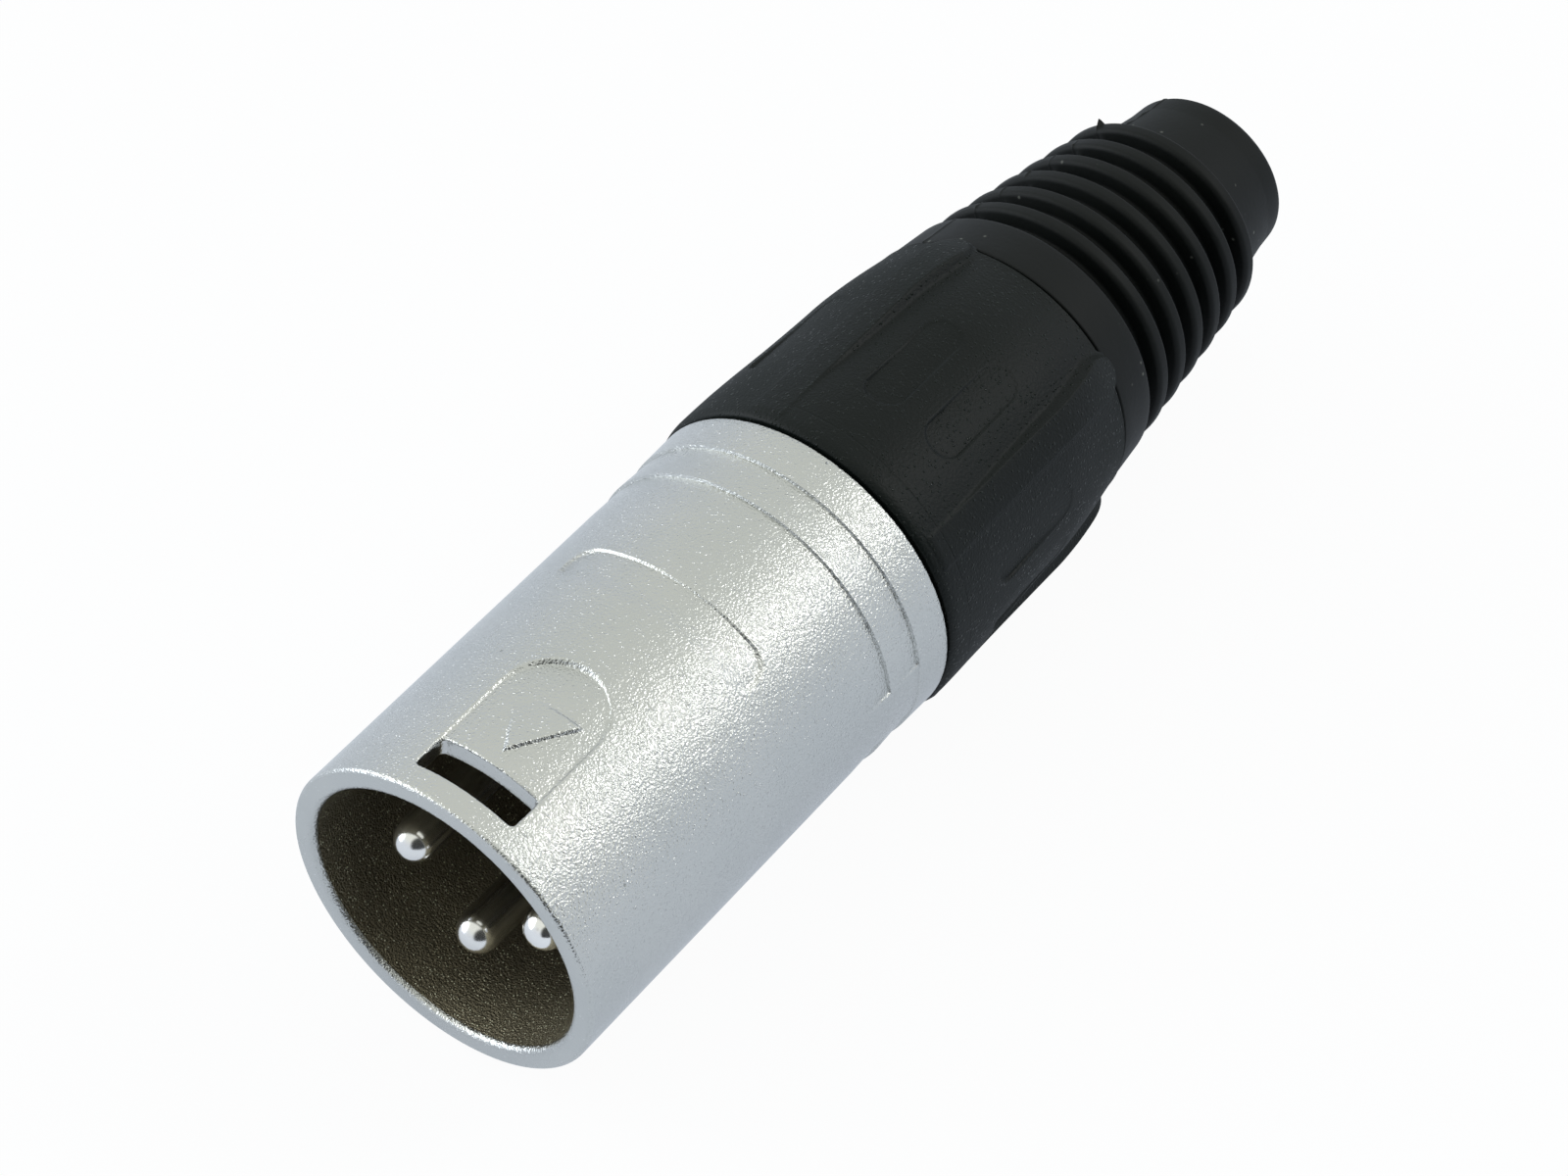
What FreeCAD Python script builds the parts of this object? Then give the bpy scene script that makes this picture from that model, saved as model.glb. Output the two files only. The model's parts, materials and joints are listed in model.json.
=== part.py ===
"""Cable-end plug with three contact pins, lying on its side.

The origin is the centre of the mouth, in the plane of the shell's front rim. The plug's axis
is the Y axis: the mouth looks along -Y and the cable leaves along +Y. The latch window in the
shell faces up, along +Z. All sizes are in millimetres.

Angles around the axis are measured from the window, and grow towards +X.
"""
import FreeCAD
import Part

import math
import os

Vector = FreeCAD.Vector
ORIGIN = Vector(0, 0, 0)
AXIS = Vector(0, 1, 0)

# Shell: the die-cast front sleeve
shell_radius = 9.5
shell_wall = 1.3
shell_length = 29.6
rim_outer_cut = 0.22
rim_inner_cut = 0.14
shell_tail_cut = 0.15
seat_step = 0.3
seat_length = 1.9
thread_wall = 0.66
thread_bore_length = 7.3

# Shell: the latch window and the sunk panel with the raised arrow behind it
window_front = 1.5
window_length = 2.1
window_width = 6.06
window_corner = 0.3
panel_depth = 0.12
panel_length = 7.4
arrow_gap = 1.0
arrow_length = 3.5
arrow_width = 4.04

# Shell: the sunk field on its middle
field_front = 15.4
field_length = 2.9
field_half_angle = 38.9
field_depth = 0.12

# Shell: two shallow steps near its tail, which fade to ramps beside the mould's parting
first_step_length = 4.9
second_step_length = 2.45
first_step_height = 0.08
second_step_height = 0.06
ramp_length = 1.8
ramp_half_angle = 11.4

# Insert: the moulded carrier that holds the contacts
insert_front_length = 6.9
fit_clearance = 0.06
flange_length = 2.0
skirt_gap = 0.25
skirt_wall = 1.0
skirt_length = 8.2
skirt_slot_width = 3.4
key_width = 1.6
key_height = 0.3
keyway_clearance = 0.15

# Contacts: three turned pins with solder cups
pin_radius = 1.2
pin_tip_y = 1.95
pin_angles = (-90.0, 90.0, 180.0)
root_radius = 1.5
root_to_skirt = 0.45
cup_bore_radius = 1.05
cup_depth = 4.2
cup_length = 5.0
cup_mouth_length = 3.2
cup_mouth_height = 0.35
press_clearance = 0.02

# Ground contact: a bowed spring strip that joins the shell to a lug
strip_angle = 45.0
strip_width = 2.4
strip_thickness = 0.25
strip_inset = 1.1
strip_foot_length = 1.0
strip_bow_length = 3.8
strip_bed_depth = 0.69
strip_clearance = 0.05
strip_bed_margin = 0.1
lug_gap = 0.05
lug_hole_radius = 0.5
lug_hole_edge = 1.0

# Chuck: the slit clamp around the cable
chuck_travel = 6.75
key_overlap = 0.6
key_side_clearance = 0.05
chuck_shoulder_length = 0.9
chuck_key_sink = 0.3
chuck_ring_inset = 2.4
chuck_ring_length = 3.0
chuck_ring_wall = 1.34
chuck_key_width = 3.1
jaw_length = 8.9
jaw_cone_step = 0.6
jaw_taper = 1.35
jaw_wall = 1.1
jaw_tail_cut = 0.4
jaw_slit_width = 1.0
jaw_slit_lead = 0.1
jaw_slit_count = 4
throat_length = 0.3
tooth_count = 3
tooth_pitch = 2.4
tooth_depth = 0.45
tooth_back_length = 0.65
first_tooth_inset = 0.9
cone_clearance = 0.2

# Bushing: the hard grip piece with the screwed spigot
thread_clearance = 0.09
spigot_wall = 1.4
spigot_end_gap = 0.1
bushing_gap = 0.15
lip_cut = 0.3
grip_step = 0.39
grip_collar_length = 2.85
grip_waist_fall = 0.45
grip_waist_setback = 5.6
grip_end_fall = 1.11
web_thickness = 1.4
web_bore_gap = 0.4
socket_depth = 4.9
socket_wall = 1.48
neck_bore_clearance = 0.03

# Bushing: five grip ribs and two sunk ovals between each pair
rib_count = 5
rib_first_angle = -21.4
rib_lead = 1.0
rib_peak_height = 0.1
rib_peak_lag = 0.9
rib_tail_fall = 0.49
rib_tail_length = 1.0
rib_end_overhang = 0.3
rib_crest_width = 1.75
rib_flank_slope = 0.62
rib_nose_cut = 0.3
rib_nose_margin = 0.35
rib_sink = 0.01
oval_inset = 1.7
oval_back_gap = 0.3
oval_width = 2.3
oval_front_depth = 0.17
cut_margin = 1.0

# Boot: the soft bend relief
boot_gap = 0.2
boot_step = 0.06
boot_collar_length = 3.05
boot_collar_fall = 0.32
boot_rib_count = 6
boot_rib_pitch = 2.13
boot_rib_width = 0.85
boot_rib_slope = 0.35
boot_first_rib_fall = 0.6
boot_last_rib_fall = 1.97
boot_groove_depth = 1.0
boot_web_angle = -37
boot_web_half_angle = 4.5
boot_web_fall = 0.25
boot_web_sink = 0.5
sleeve_front_fall = 0.95
sleeve_taper = 0.65
sleeve_wall = 1.15
sleeve_length = 4.87
sleeve_cut = 0.35
sleeve_step_length = 0.5

# Shell sizes that follow
shell_bore_radius = shell_radius - shell_wall
seat_radius = shell_bore_radius + seat_step
thread_bore_radius = shell_radius - thread_wall
thread_bore_start = shell_length - thread_bore_length
shoulder_y = thread_bore_start - seat_length
window_tail = window_front + window_length
first_step_y = shell_length - first_step_length
second_step_y = shell_length - second_step_length
first_step_radius = shell_radius + first_step_height
second_step_radius = first_step_radius + second_step_height

# Spigot, insert and contact sizes that follow
spigot_radius = thread_bore_radius - thread_clearance
spigot_bore_radius = spigot_radius - spigot_wall
insert_radius = shell_bore_radius - fit_clearance
insert_face_y = shoulder_y - insert_front_length
flange_radius = seat_radius - fit_clearance
flange_end_y = shoulder_y + flange_length
skirt_radius = spigot_bore_radius - skirt_gap
skirt_bore_radius = skirt_radius - skirt_wall
skirt_end_y = flange_end_y + skirt_length
pin_circle_radius = skirt_bore_radius - root_radius - root_to_skirt
strip_front_y = insert_face_y + strip_inset
strip_bow_start = strip_front_y + strip_foot_length
strip_bow_end = strip_bow_start + strip_bow_length
strip_bed_radius = insert_radius - strip_bed_depth
lug_y = flange_end_y - strip_thickness - strip_clearance
lug_end_radius = pin_circle_radius * math.cos(math.radians(strip_angle)) + root_radius + lug_gap

# Chuck sizes that follow
chuck_ring_radius = skirt_bore_radius - fit_clearance
chuck_ring_bore = chuck_ring_radius - chuck_ring_wall
chuck_ring_y = skirt_end_y - chuck_ring_inset
ring_back_y = chuck_ring_y + chuck_ring_length
cone_front_y = ring_back_y + chuck_shoulder_length
jaw_end_y = cone_front_y + jaw_length
jaw_slit_start = cone_front_y - jaw_slit_lead
throat_y = cone_front_y + throat_length
jaw_front_radius = spigot_bore_radius - jaw_cone_step - cone_clearance
jaw_tail_radius = jaw_front_radius - jaw_taper
jaw_bore_radius = jaw_tail_radius - jaw_wall

# Bushing sizes that follow
spigot_front_y = flange_end_y + spigot_end_gap
lip_y = shell_length + bushing_gap
grip_radius = shell_radius + grip_step
grip_waist_radius = grip_radius - grip_waist_fall
grip_end_radius = grip_radius - grip_end_fall
web_y = jaw_end_y + cone_clearance
neck_front_y = web_y + web_thickness
grip_end_y = neck_front_y + socket_depth
grip_waist_y = grip_end_y - grip_waist_setback
grip_collar_end_y = lip_y + grip_collar_length
rib_rise_start = grip_collar_end_y - rib_lead
rib_peak_y = grip_waist_y + rib_peak_lag
rib_peak_radius = grip_radius + rib_peak_height
rib_tail_y = grip_end_y - rib_tail_length
rib_tail_radius = rib_peak_radius - rib_tail_fall
oval_front_y = grip_collar_end_y + oval_inset
oval_length = grip_waist_y - oval_back_gap - oval_front_y

# Boot sizes that follow
boot_front_y = grip_end_y + boot_gap
boot_radius = grip_end_radius - boot_step
neck_radius = grip_end_radius - socket_wall
boot_collar_end_y = boot_front_y + boot_collar_length
boot_collar_end_radius = boot_radius - boot_collar_fall
boot_first_rib_radius = boot_radius - boot_first_rib_fall
boot_last_rib_radius = boot_radius - boot_last_rib_fall
sleeve_front_radius = boot_last_rib_radius - sleeve_front_fall
sleeve_tail_radius = sleeve_front_radius - sleeve_taper
cable_radius = sleeve_tail_radius - sleeve_wall
web_bore_radius = cable_radius + web_bore_gap


def profile_face(corners):
    """Return a flat face in the XY plane from (radius, y, cut) corners in order.

    A corner with a cut loses its tip: the cut is measured from the corner along both sides.
    """
    points = []
    count = len(corners)
    for index, (radius, y, cut) in enumerate(corners):
        here = Vector(radius, y, 0)
        if cut <= 0:
            points.append(here)
            continue
        before = Vector(*corners[index - 1][:2], 0)
        after = Vector(*corners[(index + 1) % count][:2], 0)
        points.append(here + (before - here).normalize() * cut)
        points.append(here + (after - here).normalize() * cut)
    return Part.Face(Part.makePolygon(points + [points[0]]))


def turned(corners):
    """Return the solid of revolution about the plug's axis of a profile."""
    return profile_face(corners).revolve(ORIGIN, AXIS, 360)


def tube(inner, outer, front, back):
    """Return a plain ring about the plug's axis."""
    return turned([(inner, front, 0), (outer, front, 0), (outer, back, 0), (inner, back, 0)])


def rod(radius, front, back):
    """Return a plain cylinder on the plug's axis."""
    return Part.makeCylinder(radius, back - front, Vector(0, front, 0), AXIS)


def around(shape, angle):
    """Return a copy of a shape turned about the plug's axis, from the window towards +X."""
    copy = shape.copy()
    copy.rotate(ORIGIN, AXIS, angle)
    return copy


def block(width, front, back, bottom, top):
    """Return a box that is centred on x = 0."""
    size = Vector(-width / 2, front, bottom)
    return Part.makeBox(width, back - front, top - bottom, size)


def sector(half_angle, radius, front, back):
    """Return a wedge of a cylinder, centred on the window's direction."""
    edge = Vector(0, 0, radius)
    face = Part.Face(Part.Wire([
        Part.LineSegment(ORIGIN, edge).toShape(),
        Part.LineSegment(edge, edge + Vector(0, back - front, 0)).toShape(),
        Part.LineSegment(edge + Vector(0, back - front, 0), Vector(0, back - front, 0)).toShape(),
        Part.LineSegment(Vector(0, back - front, 0), ORIGIN).toShape(),
    ]))
    wedge = face.revolve(ORIGIN, AXIS, 2 * half_angle)
    wedge.translate(Vector(0, front, 0))
    return around(wedge, -half_angle)


def plan_prism(edges, bottom, top):
    """Return the upright prism over a closed outline that lies in the XY plane."""
    face = Part.Face(Part.Wire(edges))
    prism = face.extrude(Vector(0, 0, top - bottom))
    prism.translate(Vector(0, 0, bottom))
    return prism


def arch_outline(half_width, front, back):
    """Return the edges of an outline that is square in front and round at the back."""
    spring = back - half_width
    left_front = Vector(-half_width, front, 0)
    right_front = Vector(half_width, front, 0)
    left_spring = Vector(-half_width, spring, 0)
    right_spring = Vector(half_width, spring, 0)
    return [
        Part.LineSegment(left_front, right_front).toShape(),
        Part.LineSegment(right_front, right_spring).toShape(),
        Part.Arc(right_spring, Vector(0, back, 0), left_spring).toShape(),
        Part.LineSegment(left_spring, left_front).toShape(),
    ]


def capsule_outline(half_width, front, back):
    """Return the edges of an oval outline with two round ends."""
    near = front + half_width
    far = back - half_width
    left_near = Vector(-half_width, near, 0)
    right_near = Vector(half_width, near, 0)
    left_far = Vector(-half_width, far, 0)
    right_far = Vector(half_width, far, 0)
    return [
        Part.Arc(left_near, Vector(0, front, 0), right_near).toShape(),
        Part.LineSegment(right_near, right_far).toShape(),
        Part.Arc(right_far, Vector(0, back, 0), left_far).toShape(),
        Part.LineSegment(left_far, left_near).toShape(),
    ]


def shell_body():
    """Return the shell's turned form with its two steps, bore, seat and thread bore."""
    return turned([
        (shell_bore_radius, 0, rim_inner_cut),
        (shell_radius, 0, rim_outer_cut),
        (shell_radius, first_step_y, 0),
        (first_step_radius, first_step_y, 0),
        (first_step_radius, second_step_y, 0),
        (second_step_radius, second_step_y, 0),
        (second_step_radius, shell_length, shell_tail_cut),
        (thread_bore_radius, shell_length, 0),
        (thread_bore_radius, thread_bore_start, 0),
        (seat_radius, thread_bore_start, 0),
        (seat_radius, shoulder_y, 0),
        (shell_bore_radius, shoulder_y, 0),
    ])


def parting_ramps():
    """Return the ramps that lead up to each step beside the mould's parting, on both sides."""
    root = shell_radius - first_step_height
    ramps = []
    for step_y, low, high in (
        (first_step_y, shell_radius, first_step_radius),
        (second_step_y, first_step_radius, second_step_radius),
    ):
        front = step_y - ramp_length
        ring = turned([(low, front, 0), (high, step_y, 0), (root, step_y, 0), (root, front, 0)])
        reach = shell_radius + cut_margin
        wedge = sector(ramp_half_angle, reach, front - cut_margin, step_y + cut_margin)
        for side in (-90, 90):
            ramps.append(ring.common(around(wedge, side)))
    return ramps


def window_cutter():
    """Return the prism that opens the latch window."""
    top = shell_radius + cut_margin
    cutter = block(window_width, window_front, window_tail, shell_bore_radius / 2, top)
    upright = [edge for edge in cutter.Edges if abs(edge.tangentAt(edge.FirstParameter).z) > 0.9]
    return cutter.makeFillet(window_corner, upright)


def sunk_panel():
    """Return the thin curved layer that sinks the arched panel behind the window."""
    floor_radius = shell_radius - panel_depth
    top = shell_radius + cut_margin
    back = window_tail + panel_length
    front = window_tail - window_length / 2
    prism = plan_prism(arch_outline(window_width / 2, front, back), cut_margin, top)
    return tube(floor_radius, top, front, back + cut_margin).common(prism)


def raised_arrow():
    """Return the arrow on the panel, which points at the window and ends flush with the shell."""
    apex_y = window_tail + arrow_gap
    base_y = apex_y + arrow_length
    apex = Vector(0, apex_y, 0)
    left = Vector(-arrow_width / 2, base_y, 0)
    right = Vector(arrow_width / 2, base_y, 0)
    outline = [
        Part.LineSegment(apex, right).toShape(),
        Part.LineSegment(right, left).toShape(),
        Part.LineSegment(left, apex).toShape(),
    ]
    layer = tube(shell_radius - 2 * panel_depth, shell_radius, window_tail, base_y + cut_margin)
    return layer.common(plan_prism(outline, cut_margin, shell_radius + cut_margin))


def sunk_field():
    """Return the thin curved layer of the long oval field that runs across the shell."""
    end_radius = field_length / 2
    end_angle = math.degrees(end_radius / shell_radius)
    middle_y = field_front + end_radius
    floor_radius = shell_radius - field_depth
    top = shell_radius + cut_margin
    field_back = field_front + field_length
    layer = tube(floor_radius, top, field_front - cut_margin, field_back + cut_margin)
    straight_half = field_half_angle - end_angle
    band = sector(straight_half, top + cut_margin, field_front, field_back)
    pieces = [layer.common(band)]
    for side in (-1, 1):
        place = Vector(0, middle_y, 0)
        end = Part.makeCylinder(end_radius, top + cut_margin, place, Vector(0, 0, 1))
        pieces.append(layer.common(around(end, side * straight_half)))
    return pieces[0].fuse(pieces[1:])


def make_shell():
    """Return the shell with its window, sunk panel, arrow, sunk field, ramps and key."""
    shell = shell_body()
    shell = shell.fuse(parting_ramps())
    shell = shell.cut([window_cutter(), sunk_panel(), sunk_field()])
    shell = shell.fuse(raised_arrow())
    key_floor = seat_radius - key_height
    key_root = seat_radius + press_clearance
    key = block(key_width, shoulder_y, flange_end_y, key_floor, key_root)
    shell = shell.fuse(around(key, 180))
    return shell.removeSplitter()


def make_insert():
    """Return the contact carrier: front disc, flange with keyway, and slotted rear skirt."""
    inner_front_y = flange_end_y
    insert = turned([
        (0, insert_face_y, 0),
        (insert_radius, insert_face_y, 0),
        (insert_radius, shoulder_y + fit_clearance / 2, 0),
        (flange_radius, shoulder_y + fit_clearance / 2, 0),
        (flange_radius, flange_end_y, 0),
        (skirt_radius, flange_end_y, 0),
        (skirt_radius, skirt_end_y, 0),
        (skirt_bore_radius, skirt_end_y, 0),
        (skirt_bore_radius, inner_front_y, 0),
        (0, inner_front_y, 0),
    ])
    keyway_floor = seat_radius - key_height - keyway_clearance
    keyway_width = key_width + 2 * keyway_clearance
    behind = flange_end_y + cut_margin
    keyway = block(keyway_width, shoulder_y, behind, keyway_floor, seat_radius + cut_margin)
    cutters = [around(keyway, 180)]
    slot_top = skirt_radius + cut_margin
    slot = block(skirt_slot_width, flange_end_y, skirt_end_y + cut_margin, 0, slot_top)
    for side in (-90, 90):
        cutters.append(around(slot, side))
    for angle in pin_angles:
        cutters.append(pin_seat(angle))
    cutters.append(strip_bed())
    return insert.cut(cutters)


def pin_centre(angle):
    """Return the point at y = 0 on one contact's axis."""
    turn = math.radians(angle)
    return Vector(pin_circle_radius * math.sin(turn), 0, pin_circle_radius * math.cos(turn))


def pin_seat(angle):
    """Return the hole that one contact's root fills in the insert."""
    gap = press_clearance
    seat = turned([
        (0, insert_face_y - cut_margin, 0),
        (root_radius + gap, insert_face_y - cut_margin, 0),
        (root_radius + gap, flange_end_y + cut_margin, 0),
        (0, flange_end_y + cut_margin, 0),
    ])
    seat.translate(pin_centre(angle))
    return seat


def make_pin(angle):
    """Return one turned contact: round tip, shaft, thicker root and an open solder cup."""
    shaft_y = pin_tip_y + pin_radius
    cup_end = flange_end_y + cup_length
    pin = turned([
        (0, shaft_y, 0),
        (pin_radius, shaft_y, 0),
        (pin_radius, insert_face_y, 0),
        (root_radius, insert_face_y, 0),
        (root_radius, cup_end, 0),
        (cup_bore_radius, cup_end, 0),
        (cup_bore_radius, cup_end - cup_depth, 0),
        (0, cup_end - cup_depth, 0),
    ])
    tip = Part.makeSphere(pin_radius, Vector(0, shaft_y, 0), Vector(0, -1, 0), 0, 90, 360)
    mouth_front = cup_end - cup_mouth_length
    mouth_back = cup_end + cut_margin
    opening = block(4 * root_radius, mouth_front, mouth_back, -2 * root_radius, -cup_mouth_height)
    pin = pin.fuse(tip).cut(around(opening, angle))
    pin.translate(pin_centre(angle))
    return pin.removeSplitter()


def strip_bed():
    """Return the channel in the insert that holds the ground strip and lets its lug pass."""
    width = strip_width + 4 * strip_clearance
    top = seat_radius + cut_margin
    front = strip_front_y - strip_bed_margin
    bed = block(width, front, flange_end_y + cut_margin, strip_bed_radius, top)
    lug_floor = lug_end_radius - strip_bed_margin
    lug_recess = block(width, lug_y - strip_clearance, flange_end_y + strip_thickness, lug_floor, top)
    return around(bed.fuse(lug_recess), strip_angle)


def make_ground_contact():
    """Return the ground strip: a foot, a bow that meets the shell, and an inward lug."""
    thick = strip_thickness
    low = strip_bed_radius + strip_clearance
    half_width = strip_width / 2
    touch = shell_bore_radius - strip_clearance
    bow = math.sqrt(touch ** 2 - half_width ** 2) - thick
    bow_middle = (strip_bow_start + strip_bow_end) / 2
    back = lug_y
    lug_end = lug_end_radius

    def point(radius, y):
        return Vector(0, y, radius)

    def line(start, end):
        return Part.LineSegment(point(*start), point(*end)).toShape()

    def arc(start, middle, end):
        return Part.Arc(point(*start), point(*middle), point(*end)).toShape()

    inner_start = (low, strip_bow_start)
    inner_end = (low, strip_bow_end)
    outer_start = (low + thick, strip_bow_start)
    outer_end = (low + thick, strip_bow_end)
    edges = [
        line((low, strip_front_y), inner_start),
        arc(inner_start, (bow, bow_middle), inner_end),
        line(inner_end, (low, back)),
        line((low, back), (lug_end, back)),
        line((lug_end, back), (lug_end, back + thick)),
        line((lug_end, back + thick), (low + thick, back + thick)),
        line((low + thick, back + thick), outer_end),
        arc(outer_end, (bow + thick, bow_middle), outer_start),
        line(outer_start, (low + thick, strip_front_y)),
        line((low + thick, strip_front_y), (low, strip_front_y)),
    ]
    face = Part.Face(Part.Wire(edges))
    face.translate(Vector(-half_width, 0, 0))
    strip = face.extrude(Vector(strip_width, 0, 0))
    hole_place = Vector(0, back - thick, lug_end + lug_hole_edge)
    hole = Part.makeCylinder(lug_hole_radius, 3 * thick, hole_place, AXIS)
    return around(strip.cut(hole), strip_angle)


def chuck_key():
    """Return one key in the window's direction: a rib in the insert's slot and its root."""
    top = skirt_radius - key_side_clearance
    bottom = skirt_bore_radius + key_side_clearance
    root = chuck_ring_radius - chuck_key_sink
    front = skirt_end_y - chuck_travel - key_overlap
    root_front = chuck_ring_y + chuck_key_sink
    reach = skirt_radius + cut_margin
    guide = block(chuck_key_width, front, ring_back_y, 0, reach)
    rib = tube(bottom, top, front, ring_back_y).common(guide)
    foot = tube(root, top, root_front, ring_back_y).common(guide)
    return rib.fuse(foot)


def make_chuck():
    """Return the cable clamp: keyed front ring and slit jaws with teeth and a tapered outside."""
    mouth_radius = jaw_bore_radius + tooth_depth
    corners = [
        (chuck_ring_bore, chuck_ring_y, 0),
        (chuck_ring_radius, chuck_ring_y, 0),
        (chuck_ring_radius, ring_back_y, 0),
        (jaw_front_radius, cone_front_y, 0),
        (jaw_tail_radius, jaw_end_y, jaw_tail_cut),
        (mouth_radius, jaw_end_y, 0),
    ]
    for index in range(tooth_count):
        tip_y = jaw_end_y - first_tooth_inset - index * tooth_pitch
        corners.append((jaw_bore_radius, tip_y, 0))
        corners.append((mouth_radius, tip_y - tooth_back_length, 0))
    corners.append((chuck_ring_bore, throat_y, 0))
    chuck = turned(corners)
    slit_reach = jaw_front_radius + cut_margin
    slit = block(jaw_slit_width, jaw_slit_start, jaw_end_y + cut_margin, 0, slit_reach)
    slits = []
    for index in range(jaw_slit_count):
        slits.append(around(slit, (index + 0.5) * 360 / jaw_slit_count))
    chuck = chuck.cut(slits)
    key = chuck_key()
    chuck = chuck.fuse([around(key, -90), around(key, 90)])
    return chuck.removeSplitter()


def grip_outside():
    """Return the bushing's outer form without ribs: spigot, bevelled lip, collar and taper."""
    return turned([
        (0, spigot_front_y, 0),
        (spigot_radius, spigot_front_y, 0),
        (spigot_radius, lip_y, 0),
        (grip_radius, lip_y, lip_cut),
        (grip_radius, grip_collar_end_y, 0),
        (grip_waist_radius, grip_waist_y, 0),
        (grip_end_radius, grip_end_y, 0),
        (0, grip_end_y, 0),
    ])


def grip_rib():
    """Return one grip rib in the window's direction: drafted flanks and a round rear end."""
    rib_end_y = grip_end_y + rib_end_overhang
    front = rib_rise_start
    crest = turned([
        (0, front, 0),
        (grip_radius - rib_sink, front, 0),
        (grip_radius - rib_sink, grip_collar_end_y, 0),
        (rib_peak_radius, rib_peak_y, 0),
        (rib_tail_radius, rib_tail_y, 0),
        (grip_end_radius, rib_end_y, rib_nose_cut),
        (0, rib_end_y, 0),
    ])
    top = rib_peak_radius + cut_margin
    foot_radius = grip_end_radius - cut_margin
    crest_half = rib_crest_width / 2
    foot_half = crest_half + rib_flank_slope * (rib_peak_radius - foot_radius)
    points = [
        Vector(-foot_half, front, foot_radius),
        Vector(foot_half, front, foot_radius),
        Vector(crest_half, front, rib_peak_radius),
        Vector(crest_half, front, top),
        Vector(-crest_half, front, top),
        Vector(-crest_half, front, rib_peak_radius),
    ]
    section = Part.Face(Part.makePolygon(points + [points[0]]))
    wedge = section.extrude(Vector(0, rib_end_y - front, 0))
    nose = arch_outline(foot_half - rib_nose_margin, front, rib_end_y)
    plan = plan_prism(nose, foot_radius - cut_margin, top)
    rib = crest.common(wedge).common(plan)
    boot_room = rod(boot_radius + boot_gap / 2, grip_end_y, rib_end_y + cut_margin)
    return rib.cut(boot_room)


def oval_cutter():
    """Return the sunk oval in the window's direction, deep in front and fading backwards."""
    back = oval_front_y + oval_length
    fall = (grip_radius - grip_waist_radius) / (grip_waist_y - grip_collar_end_y)
    surface_front = grip_radius - fall * (oval_front_y - grip_collar_end_y)
    surface_back = grip_radius - fall * (back - grip_collar_end_y)
    top = grip_radius + cut_margin
    layer = turned([
        (surface_front - oval_front_depth, oval_front_y - press_clearance, 0),
        (top, oval_front_y - press_clearance, 0),
        (top, back + press_clearance, 0),
        (surface_back, back + press_clearance, 0),
    ])
    outline = capsule_outline(oval_width / 2, oval_front_y, back)
    return layer.common(plan_prism(outline, cut_margin, top))


def bushing_hollow():
    """Return the bushing's inside: spigot bore, clamping cone, web and the boot's socket."""
    neck = neck_radius + neck_bore_clearance
    socket_y = neck_front_y - neck_bore_clearance
    front = spigot_front_y - cut_margin
    back = grip_end_y + cut_margin
    return turned([
        (0, front, 0),
        (spigot_bore_radius, front, 0),
        (spigot_bore_radius, ring_back_y, 0),
        (jaw_front_radius + cone_clearance, cone_front_y, 0),
        (jaw_tail_radius + cone_clearance, web_y, 0),
        (web_bore_radius, web_y, 0),
        (web_bore_radius, socket_y, 0),
        (neck, socket_y, 0),
        (neck, back, 0),
        (0, back, 0),
    ])


def make_bushing():
    """Return the grip piece with its ribs, sunk ovals and hollow."""
    bushing = grip_outside()
    rib = grip_rib()
    oval = oval_cutter()
    pitch = 360 / rib_count
    ribs = []
    ovals = []
    for index in range(rib_count):
        angle = rib_first_angle + index * pitch
        ribs.append(around(rib, angle))
        ovals.append(around(oval, angle + pitch / 3))
        ovals.append(around(oval, angle + 2 * pitch / 3))
    bushing = bushing.fuse(ribs)
    bushing = bushing.cut(ovals + [bushing_hollow()])
    return bushing.removeSplitter()


def boot_corners():
    """Return the boot's profile: neck, collar, ribs, sleeve and the cable's bore."""
    corners = [
        (cable_radius, neck_front_y, 0),
        (neck_radius, neck_front_y, 0),
        (neck_radius, boot_front_y, 0),
        (boot_radius, boot_front_y, 0),
        (boot_collar_end_radius, boot_collar_end_y, 0),
    ]
    rise = (boot_last_rib_radius - boot_first_rib_radius) / (boot_rib_count - 1)
    back = boot_collar_end_y
    for index in range(boot_rib_count):
        crest = boot_first_rib_radius + rise * index
        floor = crest - boot_groove_depth
        front = back + boot_rib_pitch - boot_rib_width
        corners.append((floor, back, 0))
        corners.append((floor, front - boot_rib_slope, 0))
        corners.append((crest, front, 0))
        back = back + boot_rib_pitch
        corners.append((crest, back, 0))
    sleeve_front_y = back + sleeve_step_length
    sleeve_end_y = sleeve_front_y + sleeve_length
    corners.append((sleeve_front_radius, sleeve_front_y, 0))
    corners.append((sleeve_tail_radius, sleeve_end_y, sleeve_cut))
    corners.append((cable_radius, sleeve_end_y, 0))
    return corners


def groove_web():
    """Return the strip that bridges the grooves at the mould's parting, towards +X."""
    front = boot_collar_end_y - boot_web_sink
    back = boot_collar_end_y + boot_rib_count * boot_rib_pitch - boot_web_sink
    root = boot_last_rib_radius - boot_groove_depth - boot_web_sink
    strip = profile_face([
        (root, front, 0),
        (boot_first_rib_radius - boot_web_fall, front, 0),
        (boot_last_rib_radius - boot_web_fall, back, 0),
        (root, back, 0),
    ])
    return around(strip.revolve(ORIGIN, AXIS, 2 * boot_web_half_angle), -boot_web_half_angle)


def make_boot():
    """Return the soft bend relief: a turned form with two webs across its grooves."""
    webs = [around(groove_web(), boot_web_angle + turn) for turn in (-90, 90)]
    return turned(boot_corners()).fuse(webs).removeSplitter()


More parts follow.
